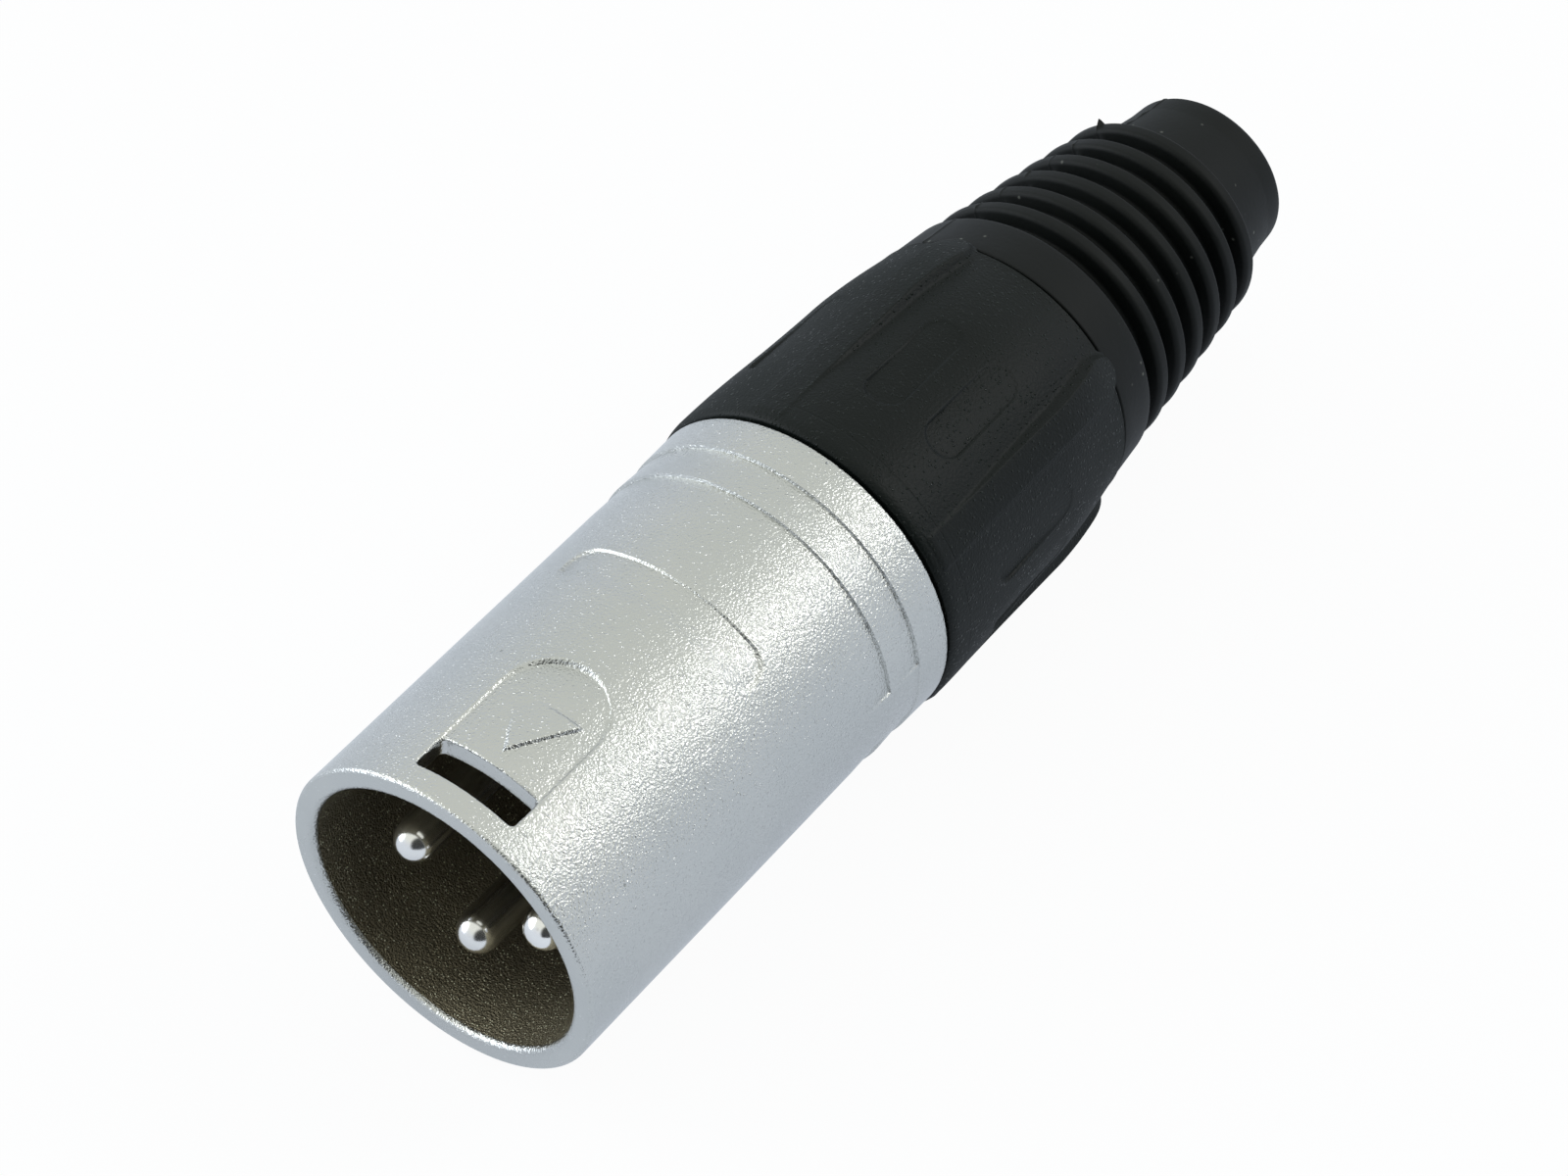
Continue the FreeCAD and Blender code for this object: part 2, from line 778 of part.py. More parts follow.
def export(name, shape):
    """Write one piece and print what it is made of."""
    if not shape.isValid():
        raise ValueError(name + " is not a valid shape")
    solids = shape.Solids
    if len(solids) == 1:
        shape = solids[0]
    shape.exportStep("parts/" + name + ".step")
    print(name, "solids", len(solids), "volume", round(shape.Volume, 1), "faces", len(shape.Faces))


def main():
    """Build every piece and write it to its own file."""
    os.makedirs("parts", exist_ok=True)
    export("shell", make_shell())
    export("insert", make_insert())
    for index, angle in enumerate(pin_angles):
        export("pin_%d" % (index + 1), make_pin(angle))
    export("ground_contact", make_ground_contact())
    export("chuck", make_chuck())
    export("bushing", make_bushing())
    export("boot", make_boot())


main()
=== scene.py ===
import json
import logging
from dataclasses import dataclass, replace
from enum import Enum

import bmesh
import bpy
import numpy as np
from mathutils import Matrix

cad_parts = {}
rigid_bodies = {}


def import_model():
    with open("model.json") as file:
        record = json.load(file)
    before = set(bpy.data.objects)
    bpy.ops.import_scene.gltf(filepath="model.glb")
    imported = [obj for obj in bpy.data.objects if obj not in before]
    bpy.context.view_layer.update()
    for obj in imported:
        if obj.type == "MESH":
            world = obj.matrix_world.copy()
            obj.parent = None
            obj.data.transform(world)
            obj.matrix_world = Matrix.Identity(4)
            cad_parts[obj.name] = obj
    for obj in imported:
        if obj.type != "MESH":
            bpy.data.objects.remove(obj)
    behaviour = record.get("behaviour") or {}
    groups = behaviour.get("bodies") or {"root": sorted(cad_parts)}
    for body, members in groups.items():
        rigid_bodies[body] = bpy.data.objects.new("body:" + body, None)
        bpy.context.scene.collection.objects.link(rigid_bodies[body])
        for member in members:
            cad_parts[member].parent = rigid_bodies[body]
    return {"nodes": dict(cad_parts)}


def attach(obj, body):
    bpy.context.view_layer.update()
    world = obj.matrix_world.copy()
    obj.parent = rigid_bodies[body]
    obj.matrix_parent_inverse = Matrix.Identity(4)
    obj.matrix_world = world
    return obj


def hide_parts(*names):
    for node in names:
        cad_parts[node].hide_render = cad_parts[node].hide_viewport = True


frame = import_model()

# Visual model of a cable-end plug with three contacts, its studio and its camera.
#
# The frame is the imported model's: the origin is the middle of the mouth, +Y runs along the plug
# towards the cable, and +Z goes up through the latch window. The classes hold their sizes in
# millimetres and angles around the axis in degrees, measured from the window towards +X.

MM = 0.001
WELD = 2e-7  # points closer than this become one, in metres
TINY = 1e-4  # slack in millimetres when stations and columns are compared
ARC_STEP = 15.0  # degrees between the points of a rounded corner
BLUR = (-0.5, -0.25, 0.0, 0.25, 0.5)  # shifts that smooth_curve averages over, in millimetres
OUTSIDE, INSIDE, FACES = range(3)  # material slots of the sleeve
LOG = logging.getLogger("plug")
Array = np.ndarray
Triple = tuple[float, float, float]
Node, Socket, Tree = bpy.types.Node, bpy.types.NodeSocket, bpy.types.NodeTree


# Shapes as arrays


def soft_step(distance: Array, width: float) -> Array:
    """Return 1 inside an outline and 0 outside it, with a smooth change across its edge.

    With t = 0.5 - distance / width, held between 0 and 1, the value is t * t * (3 - 2 t).

    Args:
        distance: signed distance to the outline, negative inside.
        width: width of the change.

    Returns:
        The mask, of the distance's shape.
    """
    t = np.clip(0.5 - distance / width, 0.0, 1.0)
    return t * t * (3.0 - 2.0 * t)


def soft_max(first: Array, second: Array, width: float) -> Array:
    """Return the larger value, with the crease rounded over about the given width.

    The formula is half of the sum plus the root of the squared difference and squared width.

    Args:
        first: one field.
        second: the other field.
        width: how wide the rounding is.

    Returns:
        The blended field.
    """
    return 0.5 * (first + second + np.sqrt((first - second) ** 2 + width ** 2))


def soft_min(first: Array, second: Array, width: float) -> Array:
    """Return the smaller value with a rounded crease, as soft_max turned upside down."""
    return -soft_max(-first, -second, width)


def smooth_curve(y: Array, stations: list[float], values: list[float]) -> Array:
    """Return the curve through the stations' values, averaged over a millimetre of y."""
    return sum(np.interp(y + shift, stations, values) for shift in BLUR) / len(BLUR)


def helix(
    y: Array, turn: Array, pitch: float, depth: float, phase: float, fades: tuple[float, float]
) -> Array:
    """Return the depth of a thread's groove.

    It follows half of 1 + phase * cos(2 pi (y / pitch - angle / 360)), sharpened by a power.

    Args:
        y: stations along the thread.
        turn: angles in degrees.
        pitch: length of one turn.
        depth: greatest depth.
        phase: 1 or -1, so that the ridges of a screw stand in the grooves of its bore.
        fades: lengths over which the groove runs in at the front and out at the rear.

    Returns:
        The depths, of the shape of y and turn together.
    """
    wave = 0.5 + phase * 0.5 * np.cos(2.0 * np.pi * (y / pitch - turn / 360.0))
    front = np.clip((y - y.min()) / fades[0], 0.0, 1.0)
    rear = np.clip((y.max() - y) / fades[1], 0.0, 1.0)
    return depth * wave ** 1.3 * (rear * front)


def around(radius: Array, along: Array, turn: Array) -> Array:
    """Return points around the plug's axis: x = r sin a, y = y, z = r cos a.

    Args:
        radius: distance from the axis.
        along: station along the axis.
        turn: angle in degrees from the window towards +X.

    Returns:
        An array with a last axis of three.
    """
    radius, along, turn = np.broadcast_arrays(radius, along, np.radians(turn))
    return np.stack([radius * np.sin(turn), along, radius * np.cos(turn)], axis=-1)


def ring(count: int) -> Array:
    """Return evenly spaced angles of a full turn, without the last."""
    return np.arange(count) * (360.0 / count)


def rounded_profile(corners: list[Triple], closed: bool, longest: float = 2.0) -> Array:
    """Return a profile of (radius, y) points whose corners are arcs.

    Each corner with a radius q is replaced by the arc that touches both sides: it starts and ends
    q / tan(half the corner's angle) from the corner, and its centre lies on the bisector.

    Args:
        corners: (radius, y, corner radius) in order.
        closed: True if the last corner joins the first.
        longest: straight stretches longer than this get points between.

    Returns:
        An array of points, two columns.
    """
    spots = np.array([corner[:2] for corner in corners], float)
    parts: list[Array] = []
    count = len(corners)
    for index, (_, _, bend) in enumerate(corners):
        here = spots[index]
        at_end = not closed and index in (0, count - 1)
        if bend <= 0.0 or at_end:
            parts.append(here[None, :])
            continue
        to_before = spots[index - 1] - here
        to_after = spots[(index + 1) % count] - here
        to_before = to_before / np.linalg.norm(to_before)
        to_after = to_after / np.linalg.norm(to_after)
        half = np.arccos(np.clip(to_before @ to_after, -1.0, 1.0)) / 2.0
        middle = (to_before + to_after) / np.linalg.norm(to_before + to_after)
        centre = here + middle * bend / np.sin(half)
        start = here + to_before * bend / np.tan(half) - centre
        end = here + to_after * bend / np.tan(half) - centre
        sweep = np.pi - 2.0 * half
        t = np.linspace(0.0, 1.0, max(4, int(np.degrees(sweep) / ARC_STEP) + 2))[:, None]
        arc = (np.sin((1.0 - t) * sweep) * start + np.sin(t * sweep) * end) / np.sin(sweep)
        parts.append(centre + arc)
    path = np.concatenate(parts)
    ahead = np.roll(path, -1, axis=0)
    steps = np.linalg.norm(ahead - path, axis=1)
    if not closed:
        steps[-1] = 0.0
    cuts = np.maximum(1, np.ceil(steps / longest).astype(int))
    start = np.repeat(path, cuts, axis=0)
    move = np.repeat((ahead - path) / cuts[:, None], cuts, axis=0)
    order = np.arange(cuts.sum()) - np.repeat(np.cumsum(cuts) - cuts, cuts)
    return start + move * order[:, None]


class Skin:
    """A mesh built from grids of points that share their edges."""

    def __init__(self, name: str) -> None:
        """Start an empty skin with the piece's name."""
        self.name = name
        self.points: list[Array] = []
        self.faces: list[Array] = []
        self.slots: list[Array] = []
        self.total = 0

    def add(self, points: Array) -> Array:
        """Store rows x columns of points in millimetres and return the index of each."""
        shape = points.shape[:2]
        index = np.arange(shape[0] * shape[1]).reshape(shape) + self.total
        self.total += index.size
        self.points.append(points.reshape(-1, 3))
        return index

    def join(
        self, index: Array, slot: int = 0, around_too: bool = True, keep: Array | None = None
    ) -> None:
        """Lay a quad between each four neighbours of a grid of point indices.

        Args:
            index: rows x columns of point indices.
            slot: material slot of the quads.
            around_too: True if the last column joins the first.
            keep: which quads to lay, rows - 1 x quads per row, or None for all.
        """
        if around_too:
            index = np.concatenate([index, index[:, :1]], axis=1)
        quads = np.stack([index[:-1, :-1], index[:-1, 1:], index[1:, 1:], index[1:, :-1]], axis=-1)
        quads = quads[keep] if keep is not None else quads.reshape(-1, 4)
        self.faces.append(quads)
        self.slots.append(np.full(len(quads), slot))

    def tube(self, points: Array, slot: int = 0, closed: bool = False) -> Array:
        """Add a grid that is closed around, and also from end to end if asked for."""
        index = self.add(points)
        self.join(np.concatenate([index, index[:1]]) if closed else index, slot)
        return index

    def finish(self, materials: list[bpy.types.Material], sharp: float = 40.0) -> bpy.types.Object:
        """Weld the grids, point the faces outwards and make the object.

        Args:
            materials: the finishes, in the order of the slots.
            sharp: edges that turn by more than this angle stay crisp, in degrees.

        Returns:
            The new object, at the origin.
        """
        mesh = bpy.data.meshes.new(self.name)
        points = np.concatenate(self.points) * MM
        mesh.from_pydata(points.tolist(), [], np.concatenate(self.faces).tolist())
        mesh.polygons.foreach_set("material_index", np.concatenate(self.slots).astype(np.int32))
        sheet = bmesh.new()
        sheet.from_mesh(mesh)
        bmesh.ops.remove_doubles(sheet, verts=sheet.verts, dist=WELD)
        bmesh.ops.recalc_face_normals(sheet, faces=sheet.faces)
        open_edges = sum(1 for edge in sheet.edges if len(edge.link_faces) != 2)
        sheet.to_mesh(mesh)
        sheet.free()
        mesh.polygons.foreach_set("use_smooth", np.ones(len(mesh.polygons), bool))
        mesh.set_sharp_from_angle(angle=np.radians(sharp))
        for material in materials:
            mesh.materials.append(material)
        piece = bpy.data.objects.new(self.name, mesh)
        bpy.context.scene.collection.objects.link(piece)
        LOG.info("%s: %d faces, %d open edges", self.name, len(mesh.polygons), open_edges)
        return piece


# Finishes


class Grain(Enum):
    """How coarse the small relief of a surface is, in metres."""

    BLASTED = 0.00013
    ERODED = 0.00016
    CAST = 0.00012
    RUBBER = 0.00030


class NodeSheet:
    """Adds nodes to a tree and wires them by socket name."""

    def __init__(self, tree: Tree) -> None:
        """Work on the given tree."""
        self.tree = tree

    def put(self, value: object, socket: Socket) -> None:
        """Link an output to the socket, or set the socket to a plain value."""
        if isinstance(value, Socket):
            self.tree.links.new(value, socket)
        else:
            socket.default_value = value

    def node(self, kind: str, **inputs: object) -> Node:
        """Add a node and fill its inputs by name.

        Args:
            kind: the node's type name without the ShaderNode prefix.
            **inputs: socket names with _ for spaces, or attributes of the node.

        Returns:
            The node.
        """
        made = self.tree.nodes.new("ShaderNode" + kind)
        for name, value in inputs.items():
            socket = next((s for s in made.inputs if s.name.replace(" ", "_") == name), None)
            if socket is None:
                setattr(made, name, value)
            else:
                self.put(value, socket)
        return made

    def fill(self, made: Node, places: tuple[int, ...], *values: object) -> None:
        """Fill a node's inputs by place, where their names don't tell them apart."""
        for place, value in zip(places, values):
            self.put(value, made.inputs[place])

    def maths(self, operation: str, first: object, second: object) -> Socket:
        """Add a maths node on two values or sockets and return its output."""
        made = self.node("Math", operation=operation)
        self.fill(made, (0, 1), first, second)
        return made.outputs[0]

    def mix(self, factor: object, first: object, second: object) -> Socket:
        """Add a colour mix and return its result."""
        made = self.node("Mix", data_type="RGBA")
        self.fill(made, (0, 6, 7), factor, first, second)
        return made.outputs[2]

    def spread(
        self, value: Socket, low: float, high: float, out_low: float, out_high: float
    ) -> Socket:
        """Map low..high to out_low..out_high smoothly and return the result."""
        made = self.node("MapRange", interpolation_type="SMOOTHSTEP")
        self.fill(made, (0, 1, 2, 3, 4), value, low, high, out_low, out_high)
        return made.outputs[0]

    def finish(self, kind: str, share: object, first: object, second: object) -> None:
        """Mix two shader nodes and lead them to an output node of the given kind."""
        both = self.node("MixShader")
        self.fill(both, (0, 1, 2), share, first.outputs[0], second.outputs[0])
        self.node(kind, Surface=both.outputs[0])


def new_sheet(owner: bpy.types.Material | bpy.types.World) -> NodeSheet:
    """Empty the nodes of a material or world and return a sheet on them."""
    owner.use_nodes = True
    owner.node_tree.nodes.clear()
    return NodeSheet(owner.node_tree)


def new_group(name: str, output: str, **inputs: float) -> tuple[NodeSheet, Node, Node]:
    """Start a shader node group with a vector and numbers coming in and one number going out.

    Args:
        name: the group's name.
        output: name of the number that goes out.
        **inputs: default of each number that comes in, with _ for spaces in its name.

    Returns:
        A sheet on the group, and its input and output nodes.
    """
    tree = bpy.data.node_groups.new(name, "ShaderNodeTree")
    sockets = tree.interface
    sockets.new_socket(name="Vector", in_out="INPUT", socket_type="NodeSocketVector")
    for label, default in inputs.items():
        label = label.replace("_", " ")
        socket = sockets.new_socket(name=label, in_out="INPUT", socket_type="NodeSocketFloat")
        socket.default_value = default
    sockets.new_socket(name=output, in_out="OUTPUT", socket_type="NodeSocketFloat")
    return NodeSheet(tree), tree.nodes.new("NodeGroupInput"), tree.nodes.new("NodeGroupOutput")


class Effects:
    """The shared node groups: grain, specks and slow drift of tone."""

    def __init__(self) -> None:
        """Build each group once."""
        self.grain = self.make_grain()
        self.specks = self.make_specks()
        self.drift = self.make_drift()

    @staticmethod
    def make_grain() -> Tree:
        """Return the grain group: fine noise and a little wider noise, a height from 0 to 1."""
        wide_size, wide_share = 0.37, 0.16
        sheet, start, end = new_group("fine grain", "Height", Grains_per_metre=8000.0)
        place, scale = start.outputs["Vector"], start.outputs["Grains per metre"]
        fine = sheet.node("TexNoise", Vector=place, Scale=scale, Detail=1.0)
        wide_scale = sheet.maths("MULTIPLY", scale, wide_size)
        wide = sheet.node("TexNoise", Vector=place, Scale=wide_scale, Detail=1.0)
        near = sheet.maths("MULTIPLY", fine.outputs[0], 1.0 - wide_share)
        broad = sheet.maths("MULTIPLY", wide.outputs[0], wide_share)
        sheet.put(sheet.maths("ADD", near, broad), end.inputs["Height"])
        return sheet.tree

    @staticmethod
    def make_specks() -> Tree:
        """Return the speck group: round spots in chosen cells, more with a larger Amount."""
        sheet, start, end = new_group(
            "specks", "Mask", Specks_per_metre=4000.0, Amount=0.2, Size=0.42
        )
        given = start.outputs
        cells = sheet.node("TexVoronoi", Vector=given["Vector"], Scale=given["Specks per metre"])
        chance = sheet.node("SeparateColor", Color=cells.outputs["Color"])
        chosen = sheet.maths("LESS_THAN", chance.outputs[0], given["Amount"])
        reach = sheet.maths("DIVIDE", cells.outputs["Distance"], given["Size"])
        core = 0.3
        spot = sheet.spread(reach, core, 1.0, 1.0, 0.0)
        sheet.put(sheet.maths("MULTIPLY", chosen, spot), end.inputs["Mask"])
        return sheet.tree

    @staticmethod
    def make_drift() -> Tree:
        """Return the drift group: a slow, smooth change from 0 to 1 over the surface."""
        sheet, start, end = new_group("tone drift", "Mask", Waves_per_metre=150.0)
        place, scale = start.outputs["Vector"], start.outputs["Waves per metre"]
        slow = sheet.node("TexNoise", Vector=place, Scale=scale, Detail=3.0)
        low, high = 0.3, 0.7
        sheet.put(sheet.spread(slow.outputs[0], low, high, 0.0, 1.0), end.inputs["Mask"])
        return sheet.tree


@dataclass(frozen=True)
class Finish:
    """A surface finish: two tones that drift, small relief, and scattered specks and pits."""

    name: str
    tone: Triple
    second_tone: Triple
    speck_tone: Triple
    metal: float
    roughness: float
    grain_height: float
    grain: Grain = Grain.ERODED
    rough_drift: float = 0.08
    specks_per_metre: float = 3000.0
    speck_amount: float = 0.05
    speck_height: float = 0.0
    speck_polish: float = 0.0
    edge_rough: float = 0.0
    edge_from: float = 0.3
    edge_full: float = 0.8
    specular: float = 0.5
    waves_per_metre: float = 150.0
    pits_per_metre: float = 900.0
    pit_amount: float = 0.0
    pit_size: float = 0.09
    pit_depth: float = 3.0

    def build(self, effects: Effects) -> bpy.types.Material:
        """Return the material.

        Args:
            effects: the shared node groups.

        Returns:
            The material, with every pattern on object coordinates.
        """
        material = bpy.data.materials.new(self.name)
        sheet = new_sheet(material)
        place = sheet.node("TexCoord").outputs["Object"]

        def group(tree: Tree, **inputs: float) -> Socket:
            """Add a shared group on the object's coordinates and return what it gives."""
            return sheet.node("Group", node_tree=tree, Vector=place, **inputs).outputs[0]

        grain = group(effects.grain, Grains_per_metre=1.0 / self.grain.value)
        specks = group(
            effects.specks, Specks_per_metre=self.specks_per_metre, Amount=self.speck_amount
        )
        pits = group(
            effects.specks,
            Specks_per_metre=self.pits_per_metre,
            Amount=self.pit_amount,
            Size=self.pit_size,
        )
        drift = group(effects.drift, Waves_per_metre=self.waves_per_metre)
        tone = sheet.mix(drift, (*self.tone, 1.0), (*self.second_tone, 1.0))
        tone = sheet.mix(specks, tone, (*self.speck_tone, 1.0))
        facing = sheet.node("LayerWeight", Blend=0.5).outputs["Facing"]
        edge = sheet.spread(facing, self.edge_from, self.edge_full, 0.0, self.edge_rough)
        rough = sheet.maths("MULTIPLY", drift, self.rough_drift)
        rough = sheet.maths("ADD", rough, self.roughness)
        rough = sheet.maths("SUBTRACT", rough, sheet.maths("MULTIPLY", specks, self.speck_polish))
        rough = sheet.maths("ADD", rough, edge)
        height = sheet.maths("ADD", grain, sheet.maths("MULTIPLY", specks, self.speck_height))
        height = sheet.maths("SUBTRACT", height, sheet.maths("MULTIPLY", pits, self.pit_depth))
        bump = sheet.node("Bump", Height=height, Distance=self.grain_height, Strength=1.0)
        shader = sheet.node(
            "BsdfPrincipled",
            Base_Color=tone,
            Metallic=self.metal,
            Roughness=rough,
            Normal=bump.outputs[0],
            Specular_IOR_Level=self.specular,
        )
        sheet.node("OutputMaterial", Surface=shader.outputs[0])
        return material


SATIN_NICKEL = Finish(
    name="satin_nickel",
    tone=(0.57, 0.575, 0.55),
    second_tone=(0.54, 0.55, 0.53),
    speck_tone=(0.72, 0.72, 0.70),
    metal=1.0,
    roughness=0.25,
    rough_drift=0.04,
    grain=Grain.BLASTED,
    grain_height=0.000068,
    specks_per_metre=6500.0,
    speck_amount=0.16,
    speck_height=0.3,
    pit_amount=0.05,
)
FACED_NICKEL = replace(
    SATIN_NICKEL, name="faced_nickel", grain_height=0.000026, speck_amount=0.05, speck_height=0.1
)
# Rough cast metal for the bore, thread and seat. Its tone, darker and browner than the nickel, is
# painted shade for the deep bore.
CAST_BORE_PAINTED_SHADE = Finish(
    name="cast_bore",
    tone=(0.31, 0.275, 0.19),
    second_tone=(0.20, 0.175, 0.12),
    speck_tone=(0.80, 0.80, 0.58),
    metal=0.85,
    roughness=0.40,
    grain=Grain.CAST,
    grain_height=0.00009,
    specks_per_metre=6500.0,
    speck_amount=0.26,
    speck_height=0.7,
)
SILVER_PLATE = Finish(
    name="silver_plate",
    tone=(0.86, 0.85, 0.82),
    second_tone=(0.80, 0.79, 0.76),
    speck_tone=(0.70, 0.68, 0.64),
    metal=1.0,
    roughness=0.14,
    rough_drift=0.06,
    grain_height=0.0000012,
    specks_per_metre=2600.0,
)
BLACK_GRIP = Finish(
    name="black_grip",
    tone=(0.0030, 0.0050, 0.0043),
    second_tone=(0.0042, 0.0066, 0.0057),
    speck_tone=(0.0055, 0.0090, 0.0060),
    metal=0.0,
    roughness=0.42,
    rough_drift=0.06,
    grain_height=0.000034,
    specks_per_metre=4600.0,
    speck_amount=0.34,
    speck_height=1.1,
    speck_polish=0.34,
    edge_rough=0.22,
    specular=0.165,
)
BLACK_RUBBER = Finish(
    name="black_rubber",
    tone=(0.0034, 0.0046, 0.0042),
    second_tone=(0.0052, 0.0066, 0.0060),
    speck_tone=(0.09, 0.095, 0.085),
    metal=0.0,
    roughness=0.55,
    grain=Grain.RUBBER,
    grain_height=0.000010,
    speck_amount=0.012,
    speck_height=0.2,
    specular=0.18,
)
BLACK_CARRIER = Finish(
    name="black_carrier",
    tone=(0.036, 0.031, 0.026),
    second_tone=(0.046, 0.040, 0.033),
    speck_tone=(0.10, 0.09, 0.07),
    metal=0.0,
    roughness=0.5,
    rough_drift=0.1,
    grain_height=0.000008,
)
BRONZE_STRIP = Finish(
    name="bronze_strip",
    tone=(0.66, 0.46, 0.24),
    second_tone=(0.58, 0.38, 0.18),
    speck_tone=(0.75, 0.58, 0.34),
    metal=1.0,
    roughness=0.26,
    rough_drift=0.1,
    grain_height=0.000003,
)
CHUCK_MOULDING = Finish(
    name="chuck_moulding",
    tone=(0.10, 0.10, 0.10),
    second_tone=(0.13, 0.13, 0.128),
    speck_tone=(0.16, 0.16, 0.155),
    metal=0.0,
    roughness=0.36,
    grain_height=0.000005,
    speck_amount=0.04,
)


# The plug's pieces


@dataclass
class FrontSleeve:
    """The metal sleeve with its latch window, sunk panel, arrow, sunk field, steps and thread."""

    radius: float = 9.5
    bore: float = 8.2
    length: float = 29.6
    rim_outer: float = 0.25
    rim_inner: float = 0.36
    rim_slack: float = 0.01
    tail_bend: float = 0.15
    seat_radius: float = 8.5
    seat_y: float = 20.4
    thread_radius: float = 8.84
    thread_y: float = 22.3
    thread_depth: float = 0.25
    thread_pitch: float = 1.5
    thread_fade: float = 0.6
    key_half: float = 0.8
    key_height: float = 0.3
    key_sunk: float = 0.02
    key_end: float = 22.4
    window_front: float = 1.5
    window_back: float = 3.6
    window_half: float = 3.03
    window_corner: float = 0.3
    corner_fade: float = 0.5
    window_bend: float = 0.11
    window_inner_bend: float = 0.05
    front_reach: float = 60.0
    panel_half: float = 3.05
    panel_centre: float = 7.95
    panel_depth: float = 0.12
    panel_swell: float = 0.18
    swell_x: float = -0.9
    swell_reach: float = 2.3
    panel_edge: float = 0.16
    arrow_relief: float = 0.18
    arrow_edge: float = 0.19
    arrow_fade: float = 2.4
    arrow_apex: float = 4.6
    arrow_base: float = 8.1
    arrow_half: float = 2.02
    field_middle: float = 16.85
    field_half: float = 1.45
    field_reach: float = 38.9
    field_depth: float = 0.11
    field_edge: float = 0.12
    field_rise: float = 1.5
    first_step: float = 24.7
    second_step: float = 27.15
    step_height: float = 0.09
    step_dip: float = 0.06
    step_fall: float = 0.04
    step_edge: float = 0.05
    fall_edge: float = 0.06
    second_height: float = 0.05
    tail_rise: float = 0.06
    ramp_length: float = 2.2
    ramp_edge: float = 0.2
    ramp_reach: float = 11.4
    plan_reach: float = 4.0

    def __post_init__(self) -> None:
        """Lay out the columns and start the skin."""
        self.columns = self.column_angles()
        self.skin = Skin("Front_Sleeve")

    def column_angles(self) -> Array:
        """Return the column angles on the outside, from -180 to 180 degrees.

        Near the window the columns follow lines of constant x, and crowd at the window's sides.
        """
        middle = np.linspace(-2.6, 2.6, 79)
        side = np.array([2.73, 2.80, 2.88, 2.96, 3.0, 3.03, 3.04, 3.07, 3.11, 3.16, 3.25, 3.35])
        side = np.concatenate([side, [3.5, 3.65, 3.8, self.plan_reach]])
        plan = np.concatenate([-side[::-1], middle, side])
        near = np.degrees(np.arcsin(plan / self.radius))
        edge = near[-1]
        far = np.concatenate([
            np.linspace(edge, 41.5, 22)[1:],
            np.linspace(41.5, 77.6, 15)[1:],
            np.linspace(77.6, 79.8, 8)[1:],
            np.linspace(79.8, 100.2, 9)[1:],
            np.linspace(100.2, 102.4, 8)[1:],
            np.linspace(102.4, 180.0, 25)[1:],
        ])
        return np.concatenate([-far[::-1][1:], near, far])

    def turn_at(self, radius: float) -> Array:
        """Return the columns' angles at another radius, so that x stays the same near the window.

        Within the plan's reach sin(angle) = x / radius; beyond it the rest is shared out evenly.

        Args:
            radius: radius of the surface that the columns cross.

        Returns:
            The angles in degrees.
        """
        columns = self.columns
        edge = np.degrees(np.arcsin(self.plan_reach / self.radius))
        new_edge = np.degrees(np.arcsin(self.plan_reach / radius))
        x = np.clip(self.radius * np.sin(np.radians(columns)), -self.plan_reach, self.plan_reach)
        near = np.degrees(np.arcsin(x / radius))
        share = (np.abs(columns) - edge) / (180.0 - edge)
        far = np.sign(columns) * (new_edge + share * (180.0 - new_edge))
        return np.where(np.abs(columns) <= edge, near, far)

    def window_box(self) -> tuple[float, float]:
        """Return the window's middle station and half its length."""
        front, back = self.window_front, self.window_back
        return (front + back) / 2, (back - front) / 2

    def window_distance(self, x: Array, y: Array) -> Array:
        """Return the signed distance to the window: a box with rounded corners."""
        middle, half = self.window_box()
        a = np.abs(x) - (self.window_half - self.window_corner)
        b = np.abs(y - middle) - (half - self.window_corner)
        outside = np.hypot(np.maximum(a, 0.0), np.maximum(b, 0.0))
        return outside + np.minimum(np.maximum(a, b), 0.0) - self.window_corner

    def bend_plan(self, x: Array, y: Array) -> tuple[Array, Array]:
        """Move plan points so that the grid's square window gets rounded corners.

        A point on the square's edge at t from the corner goes to the arc at 45 (1 - t / q)
        degrees from that side, q being the corner's radius. Points outside follow the nearest
        point of the edge, less and less over the fade's length.

        Args:
            x: plan x of the points.
            y: plan y of the points.

        Returns:
            The moved x and y.
        """
        q = self.window_corner
        middle, half = self.window_box()
        ax, ay = np.abs(x), np.abs(y - middle)
        cx = np.minimum(ax, self.window_half)
        cy = np.minimum(ay, half)
        tx = np.clip((self.window_half - cx) / q, 0.0, 1.0)
        ty = np.clip((half - cy) / q, 0.0, 1.0)
        on_side = cx >= self.window_half - TINY
        t = np.where(on_side, ty, tx)
        lean = np.radians(45.0 * (1.0 - t))
        along = q - q * np.sin(lean)
        across = q - q * np.cos(lean)
        new_x = np.where(on_side, self.window_half - across, self.window_half - along)
        new_y = np.where(on_side, half - along, half - across)
        at_corner = (tx < 1.0) & (ty < 1.0)
        shift_x = np.where(at_corner, new_x - cx, 0.0)
        shift_y = np.where(at_corner, new_y - cy, 0.0)
        fade = np.clip(1.0 - np.hypot(ax - cx, ay - cy) / self.corner_fade, 0.0, 1.0)
        moved_x = np.sign(x) * (ax + shift_x * fade)
        moved_y = middle + np.sign(y - middle) * (ay + shift_y * fade)
        return moved_x, moved_y

    def panel_distance(self, x: Array, y: Array) -> Array:
        """Return the signed distance to the panel: straight sides and a half-round back end."""
        straight = np.abs(x) - self.panel_half
        end = np.hypot(x, y - self.panel_centre) - self.panel_half
        shape = np.where(y < self.panel_centre, straight, end)
        return np.maximum(shape, self.window_box()[0] - y)

